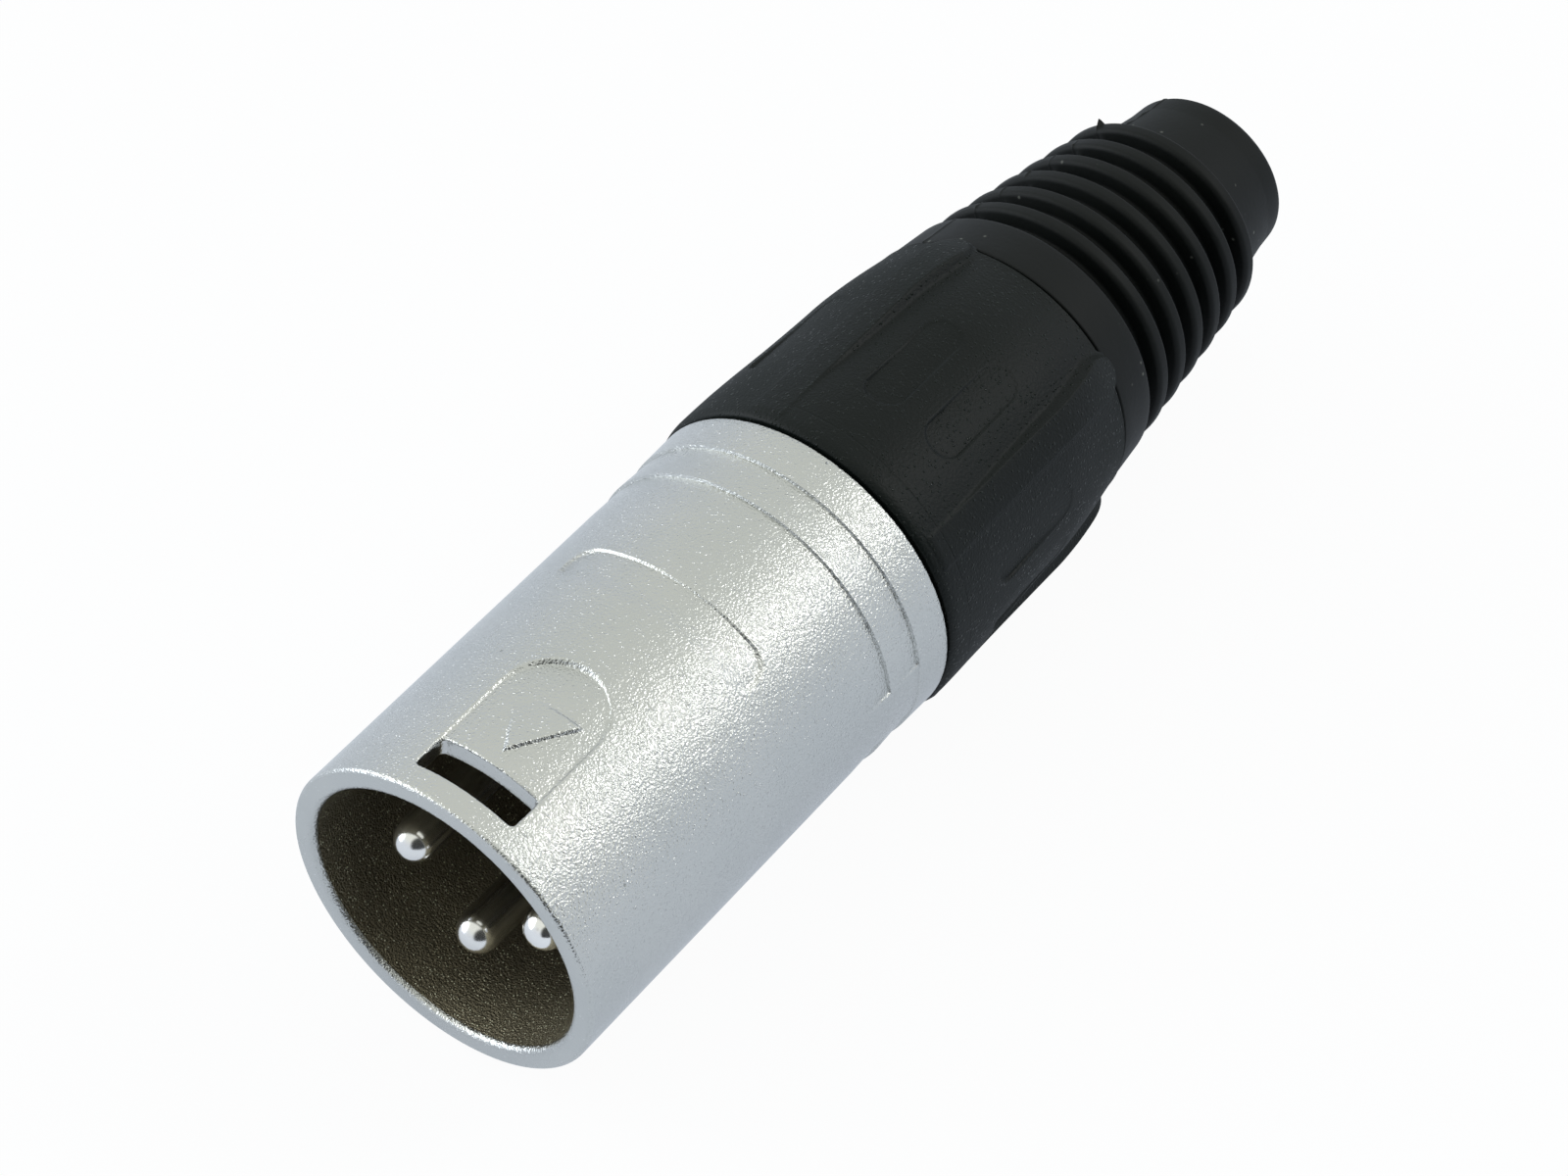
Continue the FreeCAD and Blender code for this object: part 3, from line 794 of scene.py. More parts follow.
    def flank_distance(self, x: Array, y: Array) -> Array:
        """Return the distance to the arrow's flank at +X, negative towards the arrow."""
        rise = self.arrow_base - self.arrow_apex
        long_side = np.hypot(rise, self.arrow_half)
        return (x * rise - (y - self.arrow_apex) * self.arrow_half) / long_side

    def arrow_height(self, x: Array, y: Array) -> Array:
        """Return the arrow's height, full along its flank at +X and falling away from it."""
        distance = np.maximum(self.flank_distance(np.abs(x), y), y - self.arrow_base)
        share = np.clip(1.0 + self.flank_distance(x, y) / self.arrow_fade, 0.0, 1.0)
        return self.arrow_relief * share * soft_step(distance, self.arrow_edge)

    def field_distance(self, turn: Array, y: Array) -> Array:
        """Return the signed distance to the long oval field, measured on the surface."""
        arc = np.abs(np.radians(turn)) * self.radius
        straight = np.radians(self.field_reach) * self.radius - self.field_half
        beyond = np.maximum(arc - straight, 0.0)
        return np.hypot(beyond, y - self.field_middle) - self.field_half

    def steps(self, turn: Array, y: Array) -> Array:
        """Return the height of the two tail steps over the plain cylinder.

        The surface falls a little towards each step, which jumps up at its station. Beside the
        mould's parting, at 90 degrees to the window, a ramp takes the place of the fall and rises
        to the step's height over the last stretch.
        """
        parting = (np.abs(np.abs(turn) - 90.0) - self.ramp_reach) * self.radius * np.pi / 180.0
        beside = soft_step(parting, self.ramp_edge)
        total = np.zeros(np.broadcast(turn, y).shape)
        heights = ((self.first_step, self.step_height), (self.second_step, self.second_height))
        for station, height in heights:
            jump = soft_step(station - y, self.step_edge)
            ramp = np.clip((y - station + self.ramp_length) / self.ramp_length, 0.0, 1.0)
            total = total + height * np.maximum(jump, ramp * beside)
            total = total - self.step_dip * ramp * (1.0 - jump) * (1.0 - beside)
        after_first = np.clip((y - self.first_step) / (self.second_step - self.first_step), 0, 1)
        after_second = np.clip((y - self.second_step) / (self.length - self.second_step), 0, 1)
        fall = self.step_fall * after_first * soft_step(y - self.second_step, self.fall_edge)
        rise = self.tail_rise * after_second * soft_step(self.second_step - y, self.fall_edge)
        return total - fall + rise

    def outside_height(self, x: Array, turn: Array, y: Array) -> Array:
        """Return the relief of the outside over the plain cylinder.

        The panel's floor dips towards its round end, most of all left of the middle. The long
        field's floor rises to the surface at its front.
        """
        front = np.abs(turn) < self.front_reach
        panel_end = self.panel_centre + self.panel_half
        run = np.clip((y - self.window_back) / (panel_end - self.window_back), 0.0, 1.0)
        swell = run * np.maximum(1.0 - ((x - self.swell_x) / self.swell_reach) ** 2, 0.0)
        panel = soft_step(self.panel_distance(x, y), self.panel_edge * (1.0 + swell))
        sunk = (self.panel_depth + self.panel_swell * swell) * panel - self.arrow_height(x, y)
        field_front = self.field_middle - self.field_half
        slope = soft_step(field_front + self.field_rise / 2.0 - y, self.field_rise)
        field = soft_step(self.field_distance(turn, y), self.field_edge)
        return self.steps(turn, y) - sunk * front - self.field_depth * slope * field

    def window_rows(self) -> Array:
        """Return the stations of the rows that cross the window, its edges included."""
        front = np.array([1.5, 1.53, 1.57, 1.65, 1.8, 2.1, 2.55, 3.0, 3.3, 3.45, 3.53, 3.57, 3.6])
        before = np.array([1.0, 1.25, 1.36, 1.39, 1.42, 1.46, 1.49])
        after = np.array([3.61, 3.64, 3.68, 3.71, 3.75])
        return np.concatenate([before, front, after])

    def outer_rows(self) -> Array:
        """Return the stations of the rows on the outside, from the rim's bend to the tail's."""
        ramp = np.linspace(0.0, self.ramp_length, 13) - self.ramp_length
        crisp = np.array([-0.06, -0.03, -0.01, 0.01, 0.03, 0.06, 0.12])
        return np.unique(np.round(np.concatenate([
            np.array([self.rim_outer, 0.6]),
            self.window_rows(),
            np.linspace(3.8, 11.2, 112),
            np.linspace(11.5, 15.2, 8),
            np.array([15.3, 15.33, 15.36, 15.4, 15.44, 15.47]),
            np.linspace(15.5, 18.2, 20),
            np.array([18.23, 18.26, 18.3, 18.34, 18.37, 18.4]),
            np.linspace(18.8, 22.7, 9),
            self.first_step + ramp[:-1],
            self.first_step + crisp,
            np.array([25.0]),
            self.second_step + ramp[:-1],
            self.second_step + crisp,
            np.array([27.6, 28.1, 28.6, 29.1, self.length - self.tail_bend]),
        ]), 4))

    def wall(
        self, stations: Array, radius: float, bend: float
    ) -> tuple[Array, Array, Array, Array]:
        """Return the points of a round wall whose grid is bent to the window's outline.

        Args:
            stations: the rows' stations.
            radius: the wall's radius.
            bend: radius of the rounding along the window's edge.

        Returns:
            Each point's x, y and angle, and how far the rounding takes it into the wall.
        """
        y = np.repeat(stations[:, None], len(self.columns), axis=1)
        turn = self.turn_at(radius)[None, :] + 0.0 * y
        near = np.abs(turn) < self.front_reach
        x, bent_y = self.bend_plan(radius * np.sin(np.radians(turn)), y)
        bent_turn = np.degrees(np.arcsin(np.clip(x / radius, -1.0, 1.0)))
        turn = np.where(near, bent_turn, turn)
        y = np.where(near, bent_y, y)
        gap = np.where(near, np.clip(self.window_distance(x, y), 0.0, bend), bend)
        drop = bend - np.sqrt(np.maximum(bend ** 2 - (bend - gap) ** 2, 0.0))
        return x, y, turn, drop

    def grid_outside(self) -> tuple[Array, Array]:
        """Return the outside's points and the stations of its rows."""
        stations = self.outer_rows()
        x, y, turn, drop = self.wall(stations, self.radius, self.window_bend)
        return around(self.radius + self.outside_height(x, turn, y) - drop, y, turn), stations

    def grid_inside(self) -> tuple[Array, Array]:
        """Return the bore's points, from the seat forward to the rim, and the row stations."""
        stations = np.concatenate([
            np.array([self.rim_inner, 0.6]),
            self.window_rows(),
            np.array([5.0, 7.0, 9.0, 11.0, 13.0, 15.0, 17.0, 19.0, self.seat_y]),
        ])[::-1]
        _, y, turn, drop = self.wall(stations, self.bore, self.window_inner_bend)
        return around(self.bore + drop, y, turn), stations

    def grid_thread(self) -> Array:
        """Return the thread bore, from the tail forward, with its groove as a helix."""
        y = np.linspace(self.length, self.thread_y, 52)[:, None]
        turn = self.turn_at(self.thread_radius)[None, :]
        fades = (self.thread_fade, self.thread_fade)
        groove = helix(y, turn, self.thread_pitch, self.thread_depth, 1.0, fades)
        return around(self.thread_radius + groove, y, turn)

    def key(self) -> None:
        """Add the small key that stops the carrier from turning, opposite the window."""
        half = self.key_half
        low, high = self.seat_radius - self.key_height, self.seat_radius + self.key_sunk
        x = np.array([-half, half, half, -half])
        z = -np.array([low, low, high, high])
        loops = [np.stack([x, np.full(4, y), z], axis=-1) for y in (self.seat_y, self.key_end)]
        middles = [loop.mean(axis=0, keepdims=True).repeat(4, axis=0) for loop in loops]
        self.skin.tube(np.stack([middles[0], loops[0], loops[1], middles[1]]), slot=INSIDE)

    def cut_window(self, index: Array, stations: Array, slot: int) -> Array:
        """Lay the quads of a wall but for those in the window.

        Args:
            index: indices of the wall's points, one row for each station.
            stations: the rows' stations.
            slot: the wall's material slot.

        Returns:
            The indices of the points around the window.
        """
        first, last = self.window_front - TINY, self.window_back + TINY
        row = np.flatnonzero((stations > first) & (stations < last))
        x = self.radius * np.sin(np.radians(self.columns))
        across = (np.abs(x) < self.window_half + TINY) & (np.abs(self.columns) < self.front_reach)
        column = np.flatnonzero(across)
        keep = np.ones((len(stations) - 1, len(self.columns)), bool)
        keep[np.ix_(row[:-1], column[:-1])] = False
        self.skin.join(index, slot, keep=keep)
        if stations[0] > stations[-1]:
            row = row[::-1]
        return np.concatenate([
            index[row[0], column[:-1]],
            index[row[:-1], column[-1]],
            index[row[-1], column[:0:-1]],
            index[row[:0:-1], column[0]],
        ])

    def close_rim(self, inner_edge: Array, outer_edge: Array) -> None:
        """Join the bore to the outside over the rim, whose flat face has a finish of its own.

        Args:
            inner_edge: indices of the bore's front row.
            outer_edge: indices of the outside's front row.
        """
        rim = rounded_profile(
            [
                (self.bore, self.rim_inner, 0.0),
                (self.bore, 0.0, self.rim_inner - self.rim_slack),
                (self.radius, 0.0, self.rim_outer - self.rim_slack),
                (self.radius, self.rim_outer, 0.0),
            ],
            closed=False,
            longest=0.3,
        )
        turns = np.stack([self.turn_at(min(r, self.radius)) for r in rim[:, 0]])
        index = self.skin.add(around(rim[:, :1], rim[:, 1:], turns)[1:-1])
        rows = np.concatenate([inner_edge, index, outer_edge])
        flat = np.flatnonzero(rim[:, 1] < TINY)
        self.skin.join(rows[: flat[0] + 1], OUTSIDE)
        self.skin.join(rows[flat[0] : flat[-1] + 1], FACES)
        self.skin.join(rows[flat[-1] :], OUTSIDE)

    def close_tail(self, edge: Array, outer_edge: Array, inner_edge: Array) -> None:
        """Join the outside to the bore over the tail, the thread and the insert's seat.

        Args:
            edge: points of the outside's rear row.
            outer_edge: their indices.
            inner_edge: indices of the bore's rear row.
        """
        edge_radius = np.hypot(edge[:, 0], edge[:, 2])
        lean = np.radians(np.linspace(0.0, 90.0, 6))[1:, None]
        bend_radius = edge_radius[None, :] - self.tail_bend * (1.0 - np.cos(lean))
        bend_y = self.length - self.tail_bend + self.tail_bend * np.sin(lean)
        tail = self.skin.add(around(bend_radius, bend_y, self.turn_at(self.radius)[None, :]))
        thread = self.skin.add(self.grid_thread())
        self.skin.join(np.concatenate([outer_edge, tail, thread[:1]]), OUTSIDE)
        self.skin.join(thread, INSIDE)
        ends = np.array([[self.thread_y], [self.seat_y]])
        turns = self.turn_at(self.seat_radius)[None, :]
        seat = self.skin.add(around(self.seat_radius, ends, turns))
        self.skin.join(np.concatenate([thread[-1:], seat, inner_edge]), INSIDE)

    def build(
        self,
        outside: bpy.types.Material,
        inside: bpy.types.Material,
        faces: bpy.types.Material,
    ) -> bpy.types.Object:
        """Build the sleeve as one closed skin with the window cut through its wall.

        Args:
            outside: finish of the outside.
            inside: finish of the bore and the thread, rough cast metal whose darker, browner tone
                is painted shade.
            faces: finish of the rim's face and the window's walls.

        Returns:
            The piece, riding with the plug's front and standing for the solid shell.
        """
        points, stations = self.grid_outside()
        inner_points, inner_stations = self.grid_inside()
        outer, inner = self.skin.add(points), self.skin.add(inner_points)
        outer_loop = self.cut_window(outer, stations, OUTSIDE)
        inner_loop = self.cut_window(inner, inner_stations, INSIDE)
        stored = np.concatenate(self.skin.points)
        start, end = stored[outer_loop], stored[inner_loop]
        parts = np.linspace(0.0, 1.0, 5)[1:-1, None, None]
        between = self.skin.add(start + (end - start) * parts)
        self.skin.join(np.concatenate([outer_loop[None, :], between, inner_loop[None, :]]), FACES)
        self.close_rim(inner[-1:], outer[:1])
        self.close_tail(points[-1], outer[-1:], inner[:1])
        self.key()
        piece = self.skin.finish([outside, inside, faces])
        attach(piece, "plug_front")
        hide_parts("shell")
        return piece


@dataclass
class ContactPin:
    """A turned contact with a round tip, a thicker root and an open solder cup."""

    angle: float
    number: int
    circle: float = 4.15
    radius: float = 1.2
    tip_y: float = 1.95
    tip_slack: float = 0.002
    segments: int = 56
    root_radius: float = 1.5
    root_y: float = 13.5
    cup_end: float = 27.4
    cup_bore: float = 1.05
    cup_floor: float = 23.2
    cup_mouth: float = 24.2
    cup_lip: float = 0.35
    cup_points: int = 40

    def build(self, finish: bpy.types.Material) -> bpy.types.Object:
        """Build the contact and set it on its circle.

        The front is a turned profile with a blind bore. The cup behind is a ring that is open
        towards the plug's axis, its outline carried straight along.

        Args:
            finish: the contact's finish.

        Returns:
            The piece.
        """
        skin = Skin(f"Contact_Pin_{self.number}")
        profile = rounded_profile(
            [
                (0.0, self.tip_y, 0.0),
                (self.radius, self.tip_y, self.radius - self.tip_slack),
                (self.radius, self.root_y, 0.0),
                (self.root_radius, self.root_y, 0.05),
                (self.root_radius, self.cup_mouth, 0.0),
                (self.cup_bore, self.cup_mouth, 0.0),
                (self.cup_bore, self.cup_floor, 0.1),
                (0.0, self.cup_floor, 0.0),
            ],
            closed=False,
        )
        skin.tube(around(profile[:, :1], profile[:, 1:], ring(self.segments)[None, :]))
        sides = []
        for radius, sense in ((self.root_radius, 1.0), (self.cup_bore, -1.0)):
            half_turn = np.degrees(np.arccos(-self.cup_lip / radius)) * sense
            sides.append(around(radius, 0.0, np.linspace(-half_turn, half_turn, self.cup_points)))
        loop = np.concatenate(sides)
        stations = np.linspace(self.cup_mouth, self.cup_end, 3)[:, None, None]
        index = skin.tube(loop[None, :, :] + stations * np.array([0.0, 1.0, 0.0]))
        for row in (0, -1):
            outer, inner = index[row, : self.cup_points], index[row, self.cup_points :][::-1]
            skin.join(np.stack([outer, inner]), around_too=False)
        points = np.concatenate(skin.points)
        turn = np.radians(self.angle)
        x = points[:, 0] * np.cos(turn) + points[:, 2] * np.sin(turn)
        z = points[:, 2] * np.cos(turn) - points[:, 0] * np.sin(turn)
        x = x + self.circle * np.sin(turn)
        z = z + self.circle * np.cos(turn)
        skin.points = [np.stack([x, points[:, 1], z], axis=-1)]
        piece = skin.finish([finish])
        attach(piece, "plug_front")
        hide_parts(f"pin_{self.number}")
        return piece


SECTOR = 24.0  # degrees from a rib to an oval, and from oval to oval, on the grip


@dataclass
class GripBushing:
    """The black grip with five ribs, ten sunk ovals and a screwed spigot."""

    spigot_radius: float = 8.75
    spigot_y: float = 22.5
    spigot_bore: float = 7.35
    thread_pitch: float = 1.5
    thread_depth: float = 0.3
    thread_fades: tuple[float, float] = (0.4, 0.8)
    lip_y: float = 29.82
    lip_foot: float = 9.1
    lip_radius: float = 9.6
    lip_end: float = 30.5
    collar_radius: float = 9.882
    end_y: float = 47.5
    line_y: float = 31.35
    line_depth: float = 0.014
    line_width: float = 0.035
    rib_first: float = -21.4
    rib_count: int = 5
    rib_half: float = 0.875
    rib_draft: float = 0.62
    rib_peak: float = 9.99
    rib_overhang: float = 0.3
    overhang_run: float = 0.6
    overhang_half: float = 1.1
    overhang_edge: float = 0.5
    rib_circle: float = 9.7
    crest_edge: float = 0.05
    foot_edge: float = 0.16
    nose_start: float = 46.08
    nose_width: float = 1.25
    nose_length: float = 1.5
    oval_front: float = 34.3
    oval_back: float = 41.55
    oval_half: float = 1.15
    oval_circle: float = 9.65
    oval_front_depth: float = 0.19
    oval_back_depth: float = 0.03
    oval_edge: float = 0.09
    rear_bend: float = 0.12
    cone_front_radius: float = 6.75
    cone_front_y: float = 32.1
    cone_start_y: float = 31.2
    cone_back_radius: float = 5.4
    web_y: float = 41.2
    web_bore: float = 4.4
    socket_y: float = 42.57
    socket_radius: float = 7.33

    def columns(self) -> Array:
        """Return the column angles: equal sectors, crowded at each rib's and oval's sides."""
        half = np.array([0.0, 1.3, 2.6, 3.5, 4.2, 4.7, 5.0, 5.25, 5.5, 5.8, 6.1, 6.5, 6.9, 7.3])
        half = np.concatenate([half, [7.7, 8.3, 9.2, 10.6]])
        sector = np.concatenate([-half[:0:-1], half, [12.0]])
        centres = self.rib_first + np.arange(3 * self.rib_count) * SECTOR
        return (centres[:, None] + sector[None, :]).ravel()

    def base(self, y: Array) -> Array:
        """Return the radius between the ribs."""
        stations = [31.5, 33.0, 34.5, 36.0, 37.5, 39.0, 40.6, 42.2, 43.8, 45.4, 46.2, 47.5]
        radii = [9.885, 9.857, 9.785, 9.69, 9.60, 9.53, 9.465, 9.43, 9.29, 9.09, 8.96, 8.78]
        return smooth_curve(y, stations, radii)

    def crest(self, y: Array) -> Array:
        """Return the radius of the ribs' crests, level to their peak and falling behind it."""
        stations = [31.5, 34.0, 42.8, 44.5, 46.0, 47.0, 47.8]
        return smooth_curve(y, stations, [9.85, 9.89, 9.96, 9.83, 9.60, 9.33, 9.0])

    def offset_from(self, turn: Array, first: float) -> Array:
        """Return the angle to the nearest of five directions that start at the given one."""
        pitch = 360.0 / self.rib_count
        return (turn - first + pitch / 2) % pitch - pitch / 2

    def outside(self, columns: Array) -> Array:
        """Return the points of the grip's outside, from the lip to the rear edge.

        The radius is the smooth larger of the plain form and of the ribs, less the sunk ovals and
        the fine turned line. A rib is the smooth smaller of its crest and of its flank, whose
        height falls with the distance from the rib's middle; past the nose's start that distance
        also grows with y, which rounds the rib's end. Towards the rear edge a rib's points are
        moved back a little, so that the rib stands over the edge.
        """
        y_rows = np.unique(np.round(np.concatenate([
            np.array([30.5, 30.8, 31.1, 31.24, 31.3, 31.33, 31.35, 31.37, 31.4, 31.46]),
            np.array([31.7, 32.2]),
            np.linspace(32.7, 34.1, 6),
            np.linspace(34.2, 35.5, 14),
            np.linspace(35.9, 40.1, 12),
            np.linspace(40.3, 41.7, 13),
            np.linspace(42.0, 45.4, 12),
            np.linspace(45.5, self.end_y, 26),
        ]), 4))
        y = np.repeat(y_rows[:, None], len(columns), axis=1)
        turn = columns[None, :] + 0.0 * y
        to_rib = self.offset_from(turn, self.rib_first)
        across = np.abs(self.rib_circle * np.sin(np.radians(to_rib)))
        shift = self.rib_overhang * soft_step(across - self.overhang_half, self.overhang_edge)
        run = self.end_y - self.nose_start + self.overhang_run
        y = y + shift * np.clip((y - self.nose_start + self.overhang_run) / run, 0, 1)
        past = np.maximum(y - self.nose_start, 0.0) * self.nose_width / self.nose_length
        reach = np.hypot(across, past)
        flank = self.rib_peak + (self.rib_half - reach) / self.rib_draft
        rib = soft_min(self.crest(y), flank, self.crest_edge)
        radius = soft_max(self.base(y), rib, self.foot_edge)
        near, far = self.oval_front + self.oval_half, self.oval_back - self.oval_half
        ends = [self.oval_front, self.oval_back]
        deep = np.interp(y, ends, [self.oval_front_depth, self.oval_back_depth])
        beyond = np.maximum(np.maximum(near - y, y - far), 0.0)
        for share in (1, 2):
            to_oval = self.offset_from(turn, self.rib_first + SECTOR * share)
            distance = np.hypot(self.oval_circle * np.radians(to_oval), beyond) - self.oval_half
            radius = radius - deep * soft_step(distance, self.oval_edge)
        line = np.exp(-(((y - self.line_y) / self.line_width) ** 2))
        return around(radius - self.line_depth * line, y, turn)

    def spigot(self, columns: Array) -> Array:
        """Return the threaded outside of the spigot."""
        y = np.linspace(self.spigot_y, self.lip_y, 36)[:, None]
        turn = columns[None, :]
        groove = helix(y, turn, self.thread_pitch, self.thread_depth, -1.0, self.thread_fades)
        return around(self.spigot_radius - groove, y, turn)

    def build(self, finish: bpy.types.Material) -> bpy.types.Object:
        """Build the grip as one closed skin.

        Args:
            finish: the grip's finish.

        Returns:
            The piece.
        """
        skin = Skin("Grip_Bushing")
        columns = self.columns()
        spigot = skin.add(self.spigot(columns))
        lean = np.radians(np.linspace(0.0, 90.0, 9))[:, None]
        lip_radius = self.lip_radius + (self.collar_radius - self.lip_radius) * np.sin(lean)
        lip_y = self.lip_end - (self.lip_end - self.lip_y) * np.cos(lean)
        lip_radius = np.concatenate([[[self.lip_foot]], lip_radius])
        lip_y = np.concatenate([[[self.lip_y]], lip_y])
        lip = skin.add(around(lip_radius[:-1], lip_y[:-1], columns[None, :]))
        outside = self.outside(columns)
        outside_index = skin.add(outside)
        rear = outside[-1]
        rear_radius = np.hypot(rear[:, 0], rear[:, 2])
        bend_lean = np.radians(np.linspace(0.0, 90.0, 5))[1:, None]
        bend_radius = rear_radius[None, :] - self.rear_bend * (1.0 - np.cos(bend_lean))
        edge = skin.add(around(bend_radius, rear[None, :, 1], columns[None, :]))
        inner = rounded_profile(
            [
                (self.socket_radius, self.end_y, 0.0),
                (self.socket_radius, self.socket_y, 0.1),
                (self.web_bore, self.socket_y, 0.0),
                (self.web_bore, self.web_y, 0.0),
                (self.cone_back_radius, self.web_y, 0.1),
                (self.cone_front_radius, self.cone_front_y, 0.3),
                (self.spigot_bore, self.cone_start_y, 0.3),
                (self.spigot_bore, self.spigot_y, 0.0),
            ],
            closed=False,
            longest=3.0,
        )
        inside = skin.add(around(inner[:, :1], inner[:, 1:], columns[None, :]))
        order = [spigot, lip, outside_index, edge, inside, spigot[:1]]
        skin.join(np.concatenate(order))
        piece = skin.finish([finish], sharp=50.0)
        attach(piece, "grip")
        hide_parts("bushing")
        return piece


@dataclass
class BendRelief:
    """The rubber boot: a collar, six rings and a tapered tail with the cable's way."""

    way: float = 4.0
    neck_y: float = 42.6
    neck_radius: float = 7.3
    front_y: float = 47.7
    collar_radius: float = 8.72
    collar_end_y: float = 50.75
    collar_end_radius: float = 8.4
    ring_count: int = 6
    ring_pitch: float = 2.13
    ring_width: float = 1.0
    first_crest: float = 8.12
    last_crest: float = 6.72
    groove: float = 1.0
    tail_front: float = 5.9
    tail_waist: float = 5.72
    tail_thin: float = 5.28
    tail_radius: float = 5.15
    tail_y: float = 68.9
    droop: float = 0.3
    droop_turn: float = 112.6
    web_turn: float = -37.0
    web_half: float = 4.5
    web_fall: float = 0.25
    web_edge: float = 8.0
    flash_turn: float = -40.5
    flash_width: float = 0.55
    flash_height: float = 0.09
    flash_clear: float = 0.4
    nib_y: float = 63.3
    nib_width: float = 0.25
    nib_lift: float = 4.0
    column_step: float = 2.7
    turn_gap: float = 3.0

    def web_end(self) -> float:
        """Return the station of the last ring's back."""
        return self.collar_end_y + self.ring_count * self.ring_pitch

    def profile(self) -> Array:
        """Return the closed profile: each ring rises over a rounded slope and drops sharply."""
        corners = [
            (self.way, self.neck_y, 0.0),
            (self.neck_radius, self.neck_y, 0.2),
            (self.neck_radius, self.front_y, 0.0),
            (self.collar_radius, self.front_y, 0.12),
            (self.collar_end_radius, self.collar_end_y, 0.3),
        ]
        back = self.collar_end_y
        for crest in np.linspace(self.first_crest, self.last_crest, self.ring_count):
            front = back + self.ring_pitch - self.ring_width
            corners.append((crest - self.groove, back, 0.16))
            corners.append((crest - self.groove, front, 0.22))
            back = back + self.ring_pitch
            corners.append((crest, front + 0.16, 0.34))
            corners.append((crest, back, 0.2))
        corners += [
            (self.tail_front, back, 0.2),
            (self.tail_waist, back + 1.0, 0.8),
            (self.tail_thin, self.tail_y - 1.6, 1.5),
            (self.tail_radius, self.tail_y, 0.5),
            (self.way, self.tail_y, 0.25),
        ]
        return rounded_profile(corners, closed=True, longest=0.8)

    def ragged(self, y: Array) -> Array:
        """Return how full the flash is along the boot: two waves of unlike length, 0 to 1."""
        return np.clip(0.55 + 0.3 * np.sin(5.3 * y + 1.1) + 0.25 * np.sin(13.7 * y), 0.0, 1.0)

    def build(self, finish: bpy.types.Material) -> bpy.types.Object:
        """Build the boot as one closed skin, with its webs, flash line and slight droop.

        The axis bends away behind the collar by droop * t * (2 - t), t being the share of the way
        to the tail. A web fills the grooves beside each parting up to a little under the crests,
        with soft ends. The flash is a narrow bell across the angle, broken up along the boot, with
        a small nib on it.

        Args:
            finish: the boot's finish.

        Returns:
            The piece.
        """
        skin = Skin("Bend_Relief_Boot")
        near = self.flash_turn + np.array([-1.2, -0.7, -0.35, 0.0, 0.35, 0.7, 1.2])
        bridge = self.web_turn + self.web_half + np.linspace(-6.0, 8.0, 11)
        stop = self.flash_turn + 360.0 - self.turn_gap
        rest = np.arange(bridge[-1] + self.column_step, stop, self.column_step)
        turn = np.concatenate([near, bridge, rest])[None, :]
        path = self.profile()
        radius, y = path[:, :1], path[:, 1:]
        outside = (radius > self.way + self.flash_clear) & (y > self.front_y + 0.05)
        to_web = np.abs((turn - self.web_turn + 90.0) % 180.0 - 90.0)
        bridged = soft_step(to_web - self.web_half + self.web_edge / 2, self.web_edge)
        inside = (y > self.collar_end_y - 0.01) & (y < self.web_end()) & outside
        run = (y - self.collar_end_y) / (self.web_end() - self.collar_end_y)
        fill = self.first_crest - self.web_fall + (self.last_crest - self.first_crest) * run
        radius = radius + np.maximum(fill - radius, 0.0) * bridged * inside
        off = (turn - self.flash_turn + 180.0) % 360.0 - 180.0
        bell = np.exp(-((off / self.flash_width) ** 2))
        nib = self.nib_lift * np.exp(-(((y - self.nib_y) / self.nib_width) ** 2))
        lift = self.flash_height * bell * (self.ragged(y) + nib) * outside
        points = around(radius + lift, y + 0.0 * turn, turn)
        reach = np.clip((y - self.collar_end_y) / (self.tail_y - self.collar_end_y), 0.0, 1.0)
        sag = self.droop * reach * (2.0 - reach)
        points[..., 0] += sag * np.sin(np.radians(self.droop_turn))
        points[..., 2] += sag * np.cos(np.radians(self.droop_turn))
        skin.tube(points, closed=True)
        piece = skin.finish([finish], sharp=60.0)
        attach(piece, "grip")
        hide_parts("boot")
        return piece


@dataclass(frozen=True)
class HiddenPieces:
    """The moulded and bent pieces whose plain solids are right as they are."""

    carrier: Finish = BLACK_CARRIER
    strip: Finish = BRONZE_STRIP
    clamp: Finish = CHUCK_MOULDING

    def dress(self, effects: Effects) -> None:
        """Give each of the solids its finish."""
        choices = {"insert": self.carrier, "ground_contact": self.strip, "chuck": self.clamp}
        for name, finish in choices.items():
            node = frame["nodes"][name]
            material = finish.build(effects)
            if not node.material_slots:
                node.data.materials.append(material)
            for place in node.material_slots:
                place.material = material
            LOG.info("%s: finished as %s", name, finish.name)


# The studio


def hang(name: str, data: bpy.types.ID, axes: tuple, place: Array) -> bpy.types.Object:
    """Add a lamp or camera to the scene.

    Args:
        name: the object's name.
        data: the light or camera.
        axes: directions of its X, Y and Z axes.
        place: where it is, in metres.

    Returns:
        The object.
    """
    turned = np.eye(4)
    turned[:3, :3] = np.array(axes).T
    turned[:3, 3] = place
    made = bpy.data.objects.new(name, data)
    made.matrix_world = Matrix(turned.tolist())
    bpy.context.scene.collection.objects.link(made)
    return made


